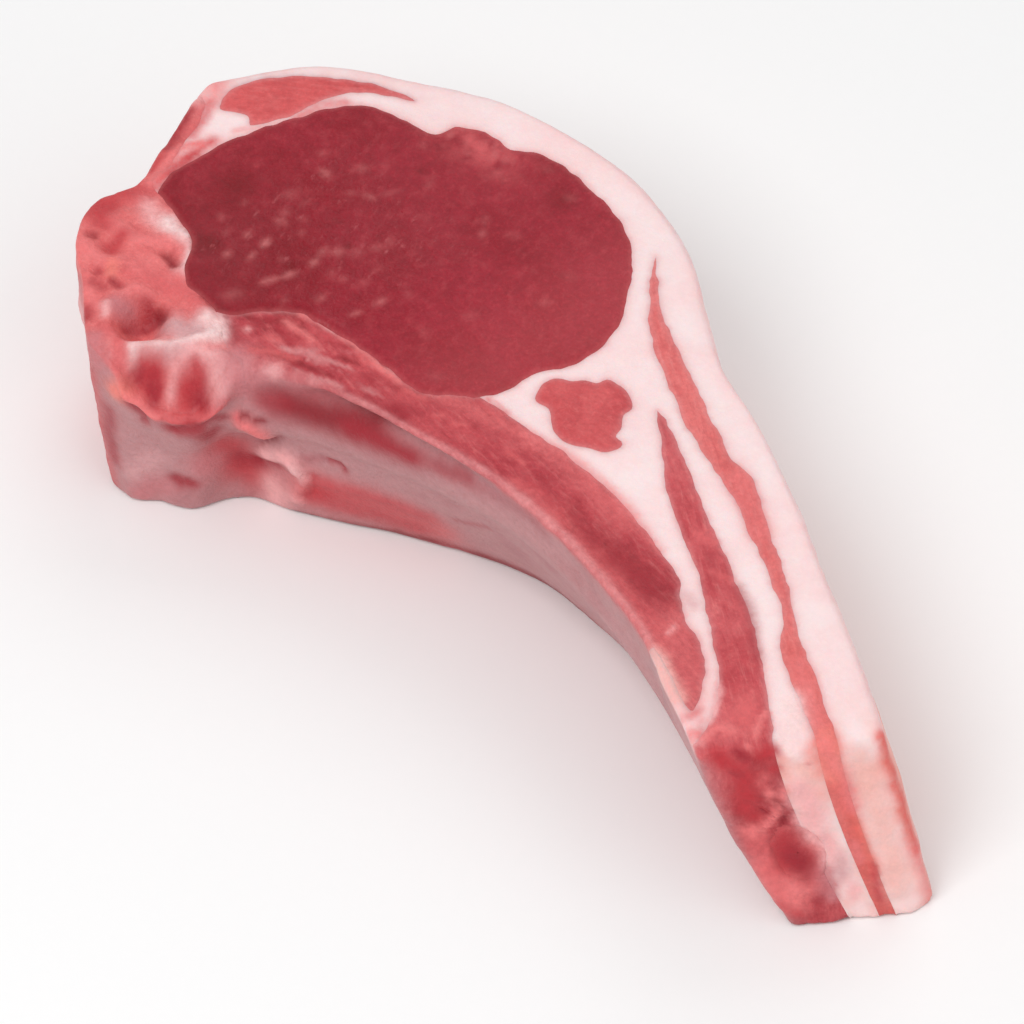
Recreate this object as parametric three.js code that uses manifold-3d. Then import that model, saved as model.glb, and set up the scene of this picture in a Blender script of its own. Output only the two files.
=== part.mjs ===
// A raw goat rib chop lying on its cut face: eye muscle, smaller muscles, fat, backbone piece and rib.
// Millimetres. +X runs from the backbone to the tail, +Y to the outer fat side, +Z up through the cut.
import * as THREE from 'three';
import { mergeVertices } from 'three/addons/utils/BufferGeometryUtils.js';
import Module from 'manifold-3d';

const wasm = await Module();
wasm.setup();

// Driving dimensions.
const THICKNESS = 28; // from cut face to cut face
const GAP = 0.3; // clearance between two tissues that touch
const REACH = 3; // how far a cutting column runs past both cut faces
const RIDGE_DROP = 9; // the backbone body's face ends this far below the cut face
const RIDGE_RUN = 6.5; // width of that sloping face
const CANAL_DEPTH = 3.2; // hollow of the spinal canal
const CANAL_RADIUS = 3.6;
const RIB_HALF_HEIGHT = 4.4;
const RIB_HALF_WIDTH = 3.3;
const RIB_END_PROUD = 0.4; // the sawn rib stands out of the tail end by this
const HOLLOW_DEPTH = 2.4; // groove between the cut face's rim and the rib
const GROOVE_HEIGHT = 0.88; // fraction of the chop's height at which it runs
const UNDERCUT_DEPTH = 2; // below the backbone body's rim
const EYE_RISE = 0.7; // the eye muscle swells above the fat by this
const LEAN_REACH = 10; // how far each of the lean's anchors is felt
const SHARPEST_CORNER = 0.4; // limits how far a grown outline runs past a tip
const LEAN_CURVE = 1.4; // above 1, most of the lean is in the lower half

// The cut face's four edges, each from one corner of the chop to the next.
const OUTER_EDGE = [[-73.6, 8], [-66.4, 20.6], [-56, 27.8], [-45, 34.2], [-33, 36.6], [-20, 36.8],
  [-8, 33.2], [6, 24.6], [18, 20.4], [30, 15.2], [42, 9.4], [54, 3.4], [66.5, -3]];
const TAIL_EDGE = [[66.5, -3], [64.6, -8], [60.6, -14], [57.4, -19], [54.4, -23.5]];
const INNER_EDGE = [[54.4, -23.5], [45, -19.4], [36, -15.6], [26, -13.2], [15, -11.6], [4, -11.7],
  [-8, -13.8], [-19, -16.2], [-27, -18.6], [-31.6, -22.4], [-34.4, -28.2], [-41, -32], [-49.4, -33.8]];
const BACK_EDGE = [[-49.4, -33.8], [-56.6, -28.4], [-64.2, -22.8], [-67.1, -17], [-65.9, -11.6],
  [-68.4, -5], [-71.4, 2.2], [-73.6, 8]];

// Muscle and bone outlines on the cut face. Where one meets the chop's side it runs on past it.
const EYE = [[-58.4, 17.6], [-55, 20.6], [-50, 22.2], [-46.6, 23.2], [-45.6, 26.4], [-42.6, 28.4],
  [-38.2, 28.8], [-35.4, 31], [-30, 31.7], [-23.6, 31.5], [-17.6, 30.3], [-13.8, 28], [-10.4, 24.6],
  [-7.3, 20.9], [-5, 17], [-4.3, 12.4], [-5.1, 8], [-6.9, 4.6], [-7, 0.4], [-8.2, -2.8], [-11, -5.6],
  [-13.6, -8.2], [-20, -8.8], [-28.6, -9.4], [-34, -10.7], [-37.6, -13.2], [-40, -16.8],
  [-44, -19.6], [-48.6, -19.4], [-52, -16], [-56, -14], [-61, -12.4], [-64.2, -7], [-64.1, 0],
  [-63, 6], [-60.8, 12]];
const CAP = [[-70.4, 9.4], [-69.4, 12.8], [-66.9, 16.5], [-63.4, 20], [-59.6, 22.7], [-55.6, 24.7],
  [-52.6, 25.4], [-55.8, 23.3], [-59.4, 20.4], [-61.8, 16.8], [-62.9, 12.4], [-64.4, 8.2],
  [-66.4, 6.6], [-69.2, 6.8]];
const KERNEL = [[-5, 4.6], [-3.9, 6.6], [-1.6, 7.9], [-0.2, 9.8], [2, 11.1], [4.6, 10.6], [6, 8.4],
  [6.8, 6.2], [8.4, 4.7], [9.9, 3.4], [9.2, 1.6], [7, 0.2], [4, -0.1], [1.4, 0.5], [-0.6, 1.9],
  [-3, 2.1], [-4.7, 3]];
const OUTER_STRIP = [[-11.4, 29.9], [-6.6, 26], [-1, 22.4], [6, 19.6], [14, 16.1], [20, 13.8],
  [26, 12.5], [32, 9.2], [38, 6], [44, 2.3], [50, -1.7], [58, -5.6], [66, -9.6], [73, -13],
  [71.6, -15.4], [65, -12.2], [57, -8.1], [49.5, -4.5], [44, 0.5], [38, 3.7], [32, 6.4], [26, 9.1],
  [20, 10.6], [12, 13.5], [4, 17.2], [-3.2, 21.2], [-8.2, 26]];
const INNER_STRIP = [[8.4, 12], [14, 10.2], [20, 7.3], [28, 3.6], [36, 0], [44, -4.1], [50, -8.1],
  [56, -12.5], [60, -15.6], [67, -19.4], [66, -31], [54.5, -30], [52.9, -22.8], [51.4, -18.9],
  [49, -15.1], [46, -12.2], [42, -9.4], [38, -6.7], [34, -4.1], [30, -1.7], [26, 0.2], [22, 2.1],
  [18, 4.7], [14, 7.7]];
const RIB_MUSCLE = [[-46, -15], [-36, -7], [-20, -4.4], [-9.8, -3.6], [-2, -3], [6, -2.2], [16, -2.3],
  [22, -3.2], [28, -4.4], [31.8, -5.6], [33.8, -7.6], [37, -9.4], [41, -10.8], [44.6, -13.3],
  [47.1, -16.2], [48.6, -19], [45.8, -18.7], [42.6, -16.6], [38.6, -14.5], [33, -12.8], [27, -11.9],
  [21, -12.2], [15, -17], [0, -21], [-18, -25], [-29, -31], [-40, -28]];
const VERTEBRA = [[-63.8, -9.9], [-60.6, -10.6], [-56, -11.8], [-52.6, -13.4], [-50.2, -16.6],
  [-47.6, -18.1], [-43.4, -18.3], [-40, -19.2], [-37, -21.2], [-34.2, -21.2], [-31.6, -20.4],
  [-29.4, -21.6], [-28, -26], [-31, -36], [-46, -42], [-60, -36], [-73, -24], [-76, -6],
  [-77, 4.4], [-71.4, 5.2], [-69, 2.2], [-67.6, -1.6], [-66.4, -5.6], [-65.3, -9]];

// Centre line of the rib, from the backbone to its sawn end: x, y on the cut face and true height.
const RIB_LINE = [[-34, -20.6, 18.6], [-27, -16, 19.8], [-19, -13.4, 20.6], [-8, -10.9, 21.2],
  [4, -8.8, 21.5], [15, -8.8, 21.4], [26, -10.2, 20.4], [36, -12.4, 18.4], [45, -15, 15.4],
  [52, -16.6, 12.8], [59, -17.4, 10.6], [67, -17.6, 9]];

// How far the lower cut face lies from the upper one: [x, y, shift in x, shift in y].
const LEAN = [[-74, 8, 0.5, -0.5], [-66, -18, 2, 2], [-57, -28, 2.5, 3], [-48, -34, 3.6, 1.2],
  [-34, -28, -3, -0.6], [-27, -18.5, -1.5, -1.8], [-14, -15, 0, 7.4], [2, -12, 0, 10.6],
  [20, -12.5, 0.5, 11], [38, -16.5, 5, 10], [54, -23.5, 14.5, 5.5], [67, -4, 10, 0.5],
  [50, 5, 3, 3], [20, 19, 1, 3], [-10, 34, 0, 2], [-45, 34, 0, 1], [-35, 8, 0, 1],
  [-57, 0, 0.5, 0.5], [15, 4, 0.5, 6], [45, -7, 6, 5]];

// Side walls: how far each stands out from the outline at these fractions of the height.
const WALL_HEIGHTS = [0, 0.06, 0.3, 0.62, 0.88, 0.96, 1];
const WALLS = {
  outer: [-2.2, -0.7, 0.8, 1.1, 0.3, -0.2, -1],
  tail: [-1, -0.2, 0.3, 0.2, 0, -0.4, -1.3],
  inner: [-1, -0.3, 0, 0, 0, -0.1, -0.6],
  back: [-0.9, -0.2, 0, 0.1, 0, -0.2, -0.6],
};

const CELLS_LONG = 34;
const CELLS_WIDE = 10;
const COLUMN_HEIGHTS = [-REACH, 0.3 * THICKNESS, 0.66 * THICKNESS, THICKNESS + REACH];
const RIB_SIDES = 10;
const RIB_STATIONS = 20;

function spline(points, closed = false) {
  const stops = points.map(([x, y, z = 0]) => new THREE.Vector3(x, y, z));
  return new THREE.CatmullRomCurve3(stops, closed, 'centripetal');
}

function smoothstep(value) {
  return THREE.MathUtils.smoothstep(value, 0, 1);
}

// The chop isn't a straight prism: its lower parts shift by a weighted mean of the nearest anchors.
function lean(x, y) {
  let total = 0;
  const shift = new THREE.Vector2();
  for (const [ax, ay, dx, dy] of LEAN) {
    const weight = Math.exp(-((x - ax) ** 2 + (y - ay) ** 2) / (2 * LEAN_REACH ** 2));
    total += weight;
    shift.x += weight * dx;
    shift.y += weight * dy;
  }
  return shift.divideScalar(total);
}

function place(x, y, z) {
  const share = Math.max(0, 1 - z / THICKNESS) ** LEAN_CURVE;
  const shift = lean(x, y);
  return new THREE.Vector3(x + share * shift.x, y + share * shift.y, z);
}

// Height of the upper cut face: a soft swell on the eye muscle, the backbone's slope and canal.
function faceHeight(x, y) {
  const fromEye = Math.hypot((x + 34) / 32, (y - 9) / 24);
  const swell = EYE_RISE * (1 - smoothstep(fromEye));
  const ripple = 0.25 * Math.sin(x / 7) * Math.cos(y / 6);
  const pastRidge = (0.607 * (x + 48.2) - 0.794 * (y + 31.6)) / RIDGE_RUN;
  const beside = smoothstep((-20.5 - y) / 3) * smoothstep((-26 - x) / 4);
  const slope = RIDGE_DROP * smoothstep(pastRidge) * beside;
  const inCanal = Math.hypot(x + 47.4, y + 26.6) / CANAL_RADIUS;
  const canal = CANAL_DEPTH * (1 - smoothstep(inCanal - 0.25));
  const tailEnd = 1.2 * smoothstep((x - 52) / 14);
  return THICKNESS + swell + ripple - slope - canal - tailEnd;
}

// A point of the cut face, blended from its four edges: along from backbone to tail, across from
// the outer edge to the inner one.
function facePoint(edges, along, across) {
  const outer = edges.outer.getPoint(along);
  const inner = edges.inner.getPoint(1 - along);
  const back = edges.back.getPoint(1 - across);
  const tail = edges.tail.getPoint(across);
  const corners = [
    [edges.outer.getPoint(0), (1 - along) * (1 - across)],
    [edges.outer.getPoint(1), along * (1 - across)],
    [edges.inner.getPoint(0), along * across],
    [edges.inner.getPoint(1), (1 - along) * across],
  ];
  const point = new THREE.Vector3();
  point.addScaledVector(outer, 1 - across).addScaledVector(inner, across);
  point.addScaledVector(back, 1 - along).addScaledVector(tail, along);
  for (const [corner, weight] of corners) point.addScaledVector(corner, -weight);
  return point;
}

// Outward step in the plan at each point of a clockwise loop, longer at a corner, so that a loop
// grown by it keeps one distance from its sides.
function outwardSteps(loop) {
  return loop.map((point, index) => {
    const before = loop[(index + loop.length - 1) % loop.length];
    const after = loop[(index + 1) % loop.length];
    const run = sideDirection(before, point).add(sideDirection(point, after)).multiplyScalar(0.5);
    const spread = run.length();
    return run.divideScalar(spread * Math.max(spread, SHARPEST_CORNER));
  });
}

function sideDirection(from, to) {
  return new THREE.Vector3(from.y - to.y, to.x - from.x, 0).normalize();
}

// How far the inner side draws in: the groove above the rib, and under the backbone body's rim.
function innerHollow(x, height) {
  const groove = HOLLOW_DEPTH * smoothstep((x + 27) / 6) * smoothstep((4 - x) / 14);
  const undercut = UNDERCUT_DEPTH * smoothstep((-26 - x) / 6) * smoothstep((x + 46) / 6);
  return (height === GROOVE_HEIGHT ? groove : 0) + undercut * smoothstep((0.96 - height) / 0.5);
}

// The whole chop as one closed mesh: two gridded cut faces joined by a curved side wall.
function chopGeometry() {
  const edges = {
    outer: spline(OUTER_EDGE),
    tail: spline(TAIL_EDGE),
    inner: spline(INNER_EDGE),
    back: spline(BACK_EDGE),
  };
  const rim = [];
  for (let i = 0; i < CELLS_LONG; i += 1) rim.push([i, 0, 'outer']);
  for (let j = 0; j < CELLS_WIDE; j += 1) rim.push([CELLS_LONG, j, 'tail']);
  for (let i = CELLS_LONG; i > 0; i -= 1) rim.push([i, CELLS_WIDE, 'inner']);
  for (let j = CELLS_WIDE; j > 0; j -= 1) rim.push([0, j, 'back']);
  const loop = rim.map(([i, j]) => facePoint(edges, i / CELLS_LONG, j / CELLS_WIDE));
  const steps = outwardSteps(loop);

  const vertices = [];
  const triangles = [];
  const add = (point) => vertices.push(point) - 1;
  const wallPoint = (index, level) => {
    const side = rim[index][2];
    const { x, y } = loop[index];
    const standOut = WALLS[side][level] - (side === 'inner' ? innerHollow(x, WALL_HEIGHTS[level]) : 0);
    const px = x + standOut * steps[index].x;
    const py = y + standOut * steps[index].y;
    return place(px, py, WALL_HEIGHTS[level] * faceHeight(px, py));
  };

  const face = (level) => {
    const grid = [];
    for (let i = 0; i <= CELLS_LONG; i += 1) {
      grid.push([]);
      for (let j = 0; j <= CELLS_WIDE; j += 1) {
        const { x, y } = facePoint(edges, i / CELLS_LONG, j / CELLS_WIDE);
        grid[i].push(add(place(x, y, WALL_HEIGHTS[level] * faceHeight(x, y))));
      }
    }
    rim.forEach(([i, j], index) => vertices[grid[i][j]].copy(wallPoint(index, level)));
    return grid;
  };

  const top = face(WALL_HEIGHTS.length - 1);
  const bottom = face(0);
  for (let i = 0; i < CELLS_LONG; i += 1) {
    for (let j = 0; j < CELLS_WIDE; j += 1) {
      const [a, b, c, d] = [top[i][j], top[i + 1][j], top[i + 1][j + 1], top[i][j + 1]];
      triangles.push(a, d, b, b, d, c);
      const [e, f, g, h] = [bottom[i][j], bottom[i + 1][j], bottom[i + 1][j + 1], bottom[i][j + 1]];
      triangles.push(e, f, h, f, g, h);
    }
  }

  const rings = WALL_HEIGHTS.map((height, level) => {
    if (level === 0) return rim.map(([i, j]) => bottom[i][j]);
    if (level === WALL_HEIGHTS.length - 1) return rim.map(([i, j]) => top[i][j]);
    return rim.map((entry, index) => add(wallPoint(index, level)));
  });
  joinRings(rings, triangles);
  return toGeometry(vertices, triangles);
}

// Joins closed rings of equal length, listed from the lowest up and clockwise seen from above.
function joinRings(rings, triangles) {
  for (let level = 0; level + 1 < rings.length; level += 1) {
    const low = rings[level];
    const high = rings[level + 1];
    for (let k = 0; k < low.length; k += 1) {
      const next = (k + 1) % low.length;
      triangles.push(low[k], high[k], low[next], low[next], high[k], high[next]);
    }
  }
}

function toGeometry(vertices, triangles) {
  const geometry = new THREE.BufferGeometry();
  const positions = vertices.flatMap((vertex) => vertex.toArray());
  geometry.setAttribute('position', new THREE.Float32BufferAttribute(positions, 3));
  geometry.setIndex(triangles);
  return geometry;
}

// A tissue's outline as a clockwise loop of evenly spaced points, grown outward by a margin.
function outline(points, count, grow) {
  const loop = spline(points, true).getSpacedPoints(count).slice(0, count);
  if (!THREE.ShapeUtils.isClockWise(loop)) loop.reverse();
  const steps = outwardSteps(loop);
  return loop.map((point, index) => point.clone().addScaledVector(steps[index], grow));
}

// A column over a clockwise loop, which runs through the chop and leans with it.
function column(loop) {
  const vertices = [];
  const triangles = [];
  const rings = COLUMN_HEIGHTS.map((z) => loop.map(({ x, y }) => vertices.push(place(x, y, z)) - 1));
  joinRings(rings, triangles);
  const flat = loop.map(({ x, y }) => new THREE.Vector2(x, y));
  const lid = rings[rings.length - 1];
  for (const [a, b, c] of THREE.ShapeUtils.triangulateShape(flat, [])) {
    triangles.push(lid[a], lid[b], lid[c]);
    triangles.push(rings[0][c], rings[0][b], rings[0][a]);
  }
  return solid(toGeometry(vertices, triangles));
}

// The rib: an oval bar along its centre line, grown outward by a margin.
function ribBar(grow = 0) {
  const line = spline(RIB_LINE.map(([x, y, z]) => place(x, y, z).toArray()));
  const vertices = [];
  const triangles = [];
  const rings = [];
  for (let station = 0; station <= RIB_STATIONS; station += 1) {
    const t = station / RIB_STATIONS;
    const centre = line.getPointAt(t);
    const heading = line.getTangentAt(t);
    const side = new THREE.Vector3(-heading.y, heading.x, 0).normalize();
    const up = new THREE.Vector3().crossVectors(heading, side).normalize();
    const ring = [];
    for (let k = 0; k < RIB_SIDES; k += 1) {
      const turn = (k / RIB_SIDES) * 2 * Math.PI;
      const point = centre.clone();
      point.addScaledVector(side, (RIB_HALF_WIDTH + grow) * Math.cos(turn));
      point.addScaledVector(up, (RIB_HALF_HEIGHT + grow) * Math.sin(turn));
      ring.push(vertices.push(point) - 1);
    }
    rings.push(ring);
  }
  joinRings(rings, triangles);
  const [first, last] = [rings[0], rings[rings.length - 1]];
  for (let k = 1; k + 1 < RIB_SIDES; k += 1) {
    triangles.push(first[0], first[k], first[k + 1]);
    triangles.push(last[0], last[k + 1], last[k]);
  }
  return solid(toGeometry(vertices, triangles));
}

// Everything past the tail end, which trims the rib just proud of the end face.
function beyondTail() {
  const past = TAIL_EDGE.map(([x, y]) => [x + RIB_END_PROUD, y - RIB_END_PROUD / 2]);
  const block = [[68, 2], [100, 20], [100, -40], [50, -34], ...past.reverse()];
  return column(block.map(([x, y]) => new THREE.Vector3(x, y, 0)));
}

// A closed mesh as a solid, turned right side out if its faces point in.
function solid(geometry) {
  geometry.deleteAttribute('normal');
  geometry.deleteAttribute('uv');
  const merged = mergeVertices(geometry, 1e-4);
  const vertProperties = new Float32Array(merged.attributes.position.array);
  const triVerts = new Uint32Array(merged.index.array);
  const [a, b, c] = [new THREE.Vector3(), new THREE.Vector3(), new THREE.Vector3()];
  let volume = 0;
  for (let k = 0; k < triVerts.length; k += 3) {
    [a, b, c].forEach((corner, n) => corner.fromArray(vertProperties, 3 * triVerts[k + n]));
    volume += a.dot(b.cross(c));
  }
  if (volume < 0) triVerts.reverse();
  return new wasm.Manifold(new wasm.Mesh({ numProp: 3, vertProperties, triVerts }));
}

// The largest connected piece of a solid: slivers that a cut leaves at a side are dropped.
function largest(piece) {
  return piece.decompose().reduce((best, other) => (other.volume() > best.volume() ? other : best));
}

function tissue(name, piece, color, roughness) {
  const mesh = largest(piece).getMesh();
  const geometry = new THREE.BufferGeometry();
  geometry.setAttribute('position', new THREE.Float32BufferAttribute(mesh.vertProperties, 3));
  geometry.setIndex([...mesh.triVerts]);
  geometry.computeVertexNormals();
  const part = new THREE.Mesh(geometry, new THREE.MeshStandardMaterial({ color, roughness, metalness: 0 }));
  part.name = name;
  return part;
}

const chop = solid(chopGeometry());

// Each tissue's own column and the slightly larger one that its neighbours are cut back by.
function tissueColumns(points, sides) {
  return { own: column(outline(points, sides, 0)), cutter: column(outline(points, sides, GAP)) };
}

const eyeColumn = tissueColumns(EYE, 46);
const capColumn = tissueColumns(CAP, 24);
const kernelColumn = tissueColumns(KERNEL, 18);
const outerStripColumn = tissueColumns(OUTER_STRIP, 40);
const innerStripColumn = tissueColumns(INNER_STRIP, 36);
const ribMuscleColumn = tissueColumns(RIB_MUSCLE, 40);
const vertebraColumn = tissueColumns(VERTEBRA, 36);
const ribCutter = ribBar(GAP);

const vertebra = chop.intersect(vertebraColumn.own);
const rib = ribBar().subtract(vertebraColumn.cutter).subtract(beyondTail());
const eye = chop.intersect(eyeColumn.own).subtract(vertebraColumn.cutter);
const cap = chop.intersect(capColumn.own);
const kernel = chop.intersect(kernelColumn.own);
const outerStrip = chop.intersect(outerStripColumn.own);
const innerStrip = chop.intersect(innerStripColumn.own).subtract(ribCutter);
const ribMuscle = chop.intersect(ribMuscleColumn.own)
  .subtract(vertebraColumn.cutter).subtract(eyeColumn.cutter).subtract(ribCutter);
const roundFat = [eyeColumn, capColumn, kernelColumn, outerStripColumn, innerStripColumn,
  ribMuscleColumn, vertebraColumn].map(({ cutter }) => cutter);
const fat = [...roundFat, ribCutter].reduce((left, cutter) => left.subtract(cutter), chop);

const model = new THREE.Group();
model.add(
  tissue('eye_muscle', eye, 0xa03c48, 0.35),
  tissue('cap_muscle', cap, 0xdb6364, 0.35),
  tissue('kernel_muscle', kernel, 0xd56164, 0.35),
  tissue('outer_strip_muscle', outerStrip, 0xdd7674, 0.35),
  tissue('inner_strip_muscle', innerStrip, 0xd36669, 0.35),
  tissue('rib_muscle', ribMuscle, 0xc65a5f, 0.4),
  tissue('fat', fat, 0xfde0e0, 0.45),
  tissue('vertebra', vertebra, 0xe08f90, 0.5),
  tissue('rib_bone', rib, 0xb98385, 0.4),
);

// The origin is the middle of the lower cut face's plane, under the middle of the chop's box.
const box = new THREE.Box3().setFromObject(model, true);
const middle = box.getCenter(new THREE.Vector3());
for (const part of model.children) part.position.set(-middle.x, -middle.y, -box.min.z);

export default model;
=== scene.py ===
"""A raw goat rib chop on a pale floor: cut face up, seen from above its rib side and tail end."""

import math

import bpy
import numpy as np
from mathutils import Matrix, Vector, geometry


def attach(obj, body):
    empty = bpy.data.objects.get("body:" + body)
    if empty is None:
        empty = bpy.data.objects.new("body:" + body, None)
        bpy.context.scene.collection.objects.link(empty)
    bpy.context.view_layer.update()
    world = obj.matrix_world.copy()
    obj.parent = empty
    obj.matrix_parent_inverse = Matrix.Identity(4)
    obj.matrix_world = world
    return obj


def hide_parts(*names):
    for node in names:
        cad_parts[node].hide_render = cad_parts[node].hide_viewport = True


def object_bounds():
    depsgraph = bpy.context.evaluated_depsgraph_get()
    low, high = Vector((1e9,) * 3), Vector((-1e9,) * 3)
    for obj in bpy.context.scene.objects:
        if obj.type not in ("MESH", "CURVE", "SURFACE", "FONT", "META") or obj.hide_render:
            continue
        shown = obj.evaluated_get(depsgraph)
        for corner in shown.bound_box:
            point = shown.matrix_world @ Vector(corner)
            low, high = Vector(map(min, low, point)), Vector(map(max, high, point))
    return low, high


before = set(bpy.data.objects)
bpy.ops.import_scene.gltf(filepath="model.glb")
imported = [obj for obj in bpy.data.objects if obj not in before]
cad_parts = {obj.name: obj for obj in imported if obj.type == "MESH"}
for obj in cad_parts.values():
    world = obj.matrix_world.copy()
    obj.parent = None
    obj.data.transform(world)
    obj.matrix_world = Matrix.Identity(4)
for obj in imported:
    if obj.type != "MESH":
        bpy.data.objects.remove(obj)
CAD_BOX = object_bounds()

# ---------------------------------------- sizes, in mm, x and y on the cut face
MM = 0.001
MIDDLE = (-0.116, 2.615)  # the middle of the chop's box in the outlines' coordinates
THICKNESS = 28.0
HIGHEST = 28.76  # just inside the CAD model's box
RIDGE_AT = (-48.2, -31.6)  # a point on the backbone body's ridge
RIDGE_FALLS = (0.607, -0.794)  # the way down from it
RIDGE_DROP = 9.0
RIDGE_RUN = 6.5
CANAL_AT = (-47.4, -26.6)
CANAL_DEPTH = 3.2
CANAL_RADIUS = 3.6
TAIL_SPAN = (52, 66)  # between which x the cut face sinks to the tail end
TAIL_DROP = 1.2
RIB_HALF_HEIGHT = 4.4
RIB_HALF_WIDTH = 3.3
RIB_COVER = 0.25  # membrane and flesh over the rib at the inner side
GROOVE_DEPTH = 2.4
GROOVE_BELOW = 2.7  # the groove's middle, below the cut face
GROOVE_DEEPENS, GROOVE_FADES = (-27, -21), (6, -8)  # between which x
UNDERCUT_DEPTH = 2.0
UNDERCUT_DEEPENS, UNDERCUT_FADES = (-46, -40), (-26, -32)
EYE_AT = (-34, 9)
EYE_REACH = (32, 24)
EYE_RISE = 0.7
LEAN_REACH = 10.0
LEAN_CURVE = 1.4
STEP = 0.5  # spacing of the mesh's points
LOWER_BAND, UPPER_BAND = 2.4, 1.3  # height of the rounded rims, where levels lie closest
BAND_LEVELS, MIDDLE_LEVELS = 9, 46
WALL_FADE = 3.0  # how far inward the side's form is felt
SHARP_ANGLE = 62  # degrees between faces from which an edge is drawn sharp

# Camera, lamps and floor: angles in degrees, lengths in m.
CAMERA_AZIMUTH = CAMERA_ELEVATION = 48
CAMERA_LENS = 400  # mm
CAMERA_DISTANCE = 1.4545
CAMERA_TARGET = (-0.0017, -0.0062, 0.0114)
LAMP_DISTANCE = 0.9
# Each lamp's energy in W, size, azimuth and elevation.
LAMPS = {"key": (3.4, 0.5, 5, 55), "fill": (1.0, 0.8, 95, 40), "rim": (0.9, 0.5, 215, 50)}
FLOOR_REACH = 3.0

OUTER_EDGE = [(-73.6, 8), (-66.4, 20.6), (-56, 27.8), (-45, 34.2), (-33, 36.6), (-20, 36.8),
              (-8, 33.2), (6, 24.6), (18, 20.4), (30, 15.2), (42, 9.4), (54, 3.4), (66.5, -3)]
TAIL_EDGE = [(66.5, -3), (64.6, -8), (60.6, -14), (57.4, -19), (54.4, -23.5)]
INNER_EDGE = [(54.4, -23.5), (45, -19.4), (36, -15.6), (26, -13.2), (15, -11.6), (4, -11.7),
              (-8, -13.8), (-19, -16.2), (-27, -18.6), (-31.6, -22.4), (-34.4, -28.2), (-41, -32),
              (-49.4, -33.8)]
BACK_EDGE = [(-49.4, -33.8), (-56.6, -28.4), (-64.2, -22.8), (-67.1, -17), (-65.9, -11.6),
             (-68.4, -5), (-71.4, 2.2), (-73.6, 8)]
SIDES = ("outer", "tail", "inner", "back")

EYE = [(-58.4, 17.6), (-55, 20.6), (-50, 22.2), (-46.6, 23.2), (-45.6, 26.4), (-42.6, 28.4),
       (-38.2, 28.8), (-35.4, 31), (-30, 31.7), (-23.6, 31.5), (-17.6, 30.3), (-13.8, 28),
       (-10.4, 24.6), (-7.3, 20.9), (-5, 17), (-4.3, 12.4), (-5.1, 8), (-6.9, 4.6), (-7, 0.4),
       (-8.2, -2.8), (-11, -5.6), (-13.6, -8.2), (-20, -8.8), (-28.6, -9.4), (-34, -10.7),
       (-37.6, -13.2), (-40, -16.8), (-44, -19.6), (-48.6, -19.4), (-52, -16), (-56, -14),
       (-61, -12.4), (-64.2, -7), (-64.1, 0), (-63, 6), (-60.8, 12)]
CAP = [(-70.4, 9.4), (-69.4, 12.8), (-66.9, 16.5), (-63.4, 20), (-59.6, 22.7), (-55.6, 24.7),
       (-52.6, 25.4), (-55.8, 23.3), (-59.4, 20.4), (-60.9, 16.8), (-61.4, 12.4), (-62.5, 9),
       (-64, 6.5), (-65.2, 7.6), (-66.2, 7.4), (-67.4, 6.2), (-68.8, 5.5), (-70, 7)]
KERNEL = [(-4.9, 4.5), (-3.9, 6.5), (-2.4, 7.3), (-1.4, 8.5), (-0.2, 9.3), (0.3, 10.7),
          (2.2, 11.4), (4.5, 11), (6, 9.9), (6.3, 8.2), (7.8, 6.4), (8.4, 4.9), (9.8, 4.6),
          (10.1, 3.4), (9.2, 1.8), (7.8, 1.2), (6, -0.1), (3.5, -0.5), (2, 0.1), (0.6, 1.1),
          (-0.8, 2), (-3.2, 1.8), (-4.3, 2.9)]
OUTER_STRIP = [(-11.4, 29.9), (-6.6, 26), (-1, 22.4), (6, 19.6), (14, 16.1), (20, 13.8), (26, 12.5),
               (32, 9.2), (38, 6), (44, 2.3), (50, -1.7), (58, -5.6), (66, -9.6), (73, -13),
               (71.6, -15.4), (65, -12.2), (57, -8.1), (49.5, -4.5), (44, 0.5), (38, 3.7),
               (32, 6.4), (26, 9.1), (20, 10.6), (12, 13.5), (4, 17.2), (-3.2, 21.2), (-8.2, 26)]
INNER_STRIP = [(8.4, 12), (14, 10.2), (20, 7.3), (28, 3.6), (36, 0), (44, -4.1), (50, -8.1),
               (56, -12.5), (60, -15.6), (67, -19.4), (66, -31), (54.5, -30), (52.9, -22.8),
               (51.4, -18.9), (49, -15.1), (46, -12.2), (42, -9.4), (38, -6.7), (34, -4.1),
               (30, -1.7), (26, 0.2), (22, 2.1), (18, 4.7), (14, 7.7)]
RIB_MUSCLE = [(-46, -15), (-36, -7), (-20, -4.4), (-9.8, -3.3), (-2, -2.6), (6, -1.8), (16, -1.9),
              (22, -2.9), (28, -4.4), (31.8, -5.6), (33.8, -7.6), (37, -9.4), (41, -10.8),
              (44.6, -13.3), (47.1, -16.2), (48.6, -19), (45.6, -18.3), (42.6, -17),
              (38.6, -15.7), (33.5, -14.7), (28, -14.4), (21, -14), (15, -17), (0, -21),
              (-18, -25), (-29, -31), (-40, -28)]
VERTEBRA = [(-63.8, -9.9), (-60.6, -10.6), (-56, -11.8), (-52.6, -13.4), (-50.2, -16.6),
            (-47.6, -18.1), (-43.4, -18.3), (-40, -19.2), (-37, -21.2), (-34.2, -21.2),
            (-31.6, -20.4), (-29.4, -21.6), (-28, -26), (-31, -36), (-46, -42), (-60, -36),
            (-73, -24), (-76, -6), (-77, 4.4), (-71.4, 5.2), (-69, 2.2), (-67.6, -1.6),
            (-65.6, -5.6), (-64.8, -9)]
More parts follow.
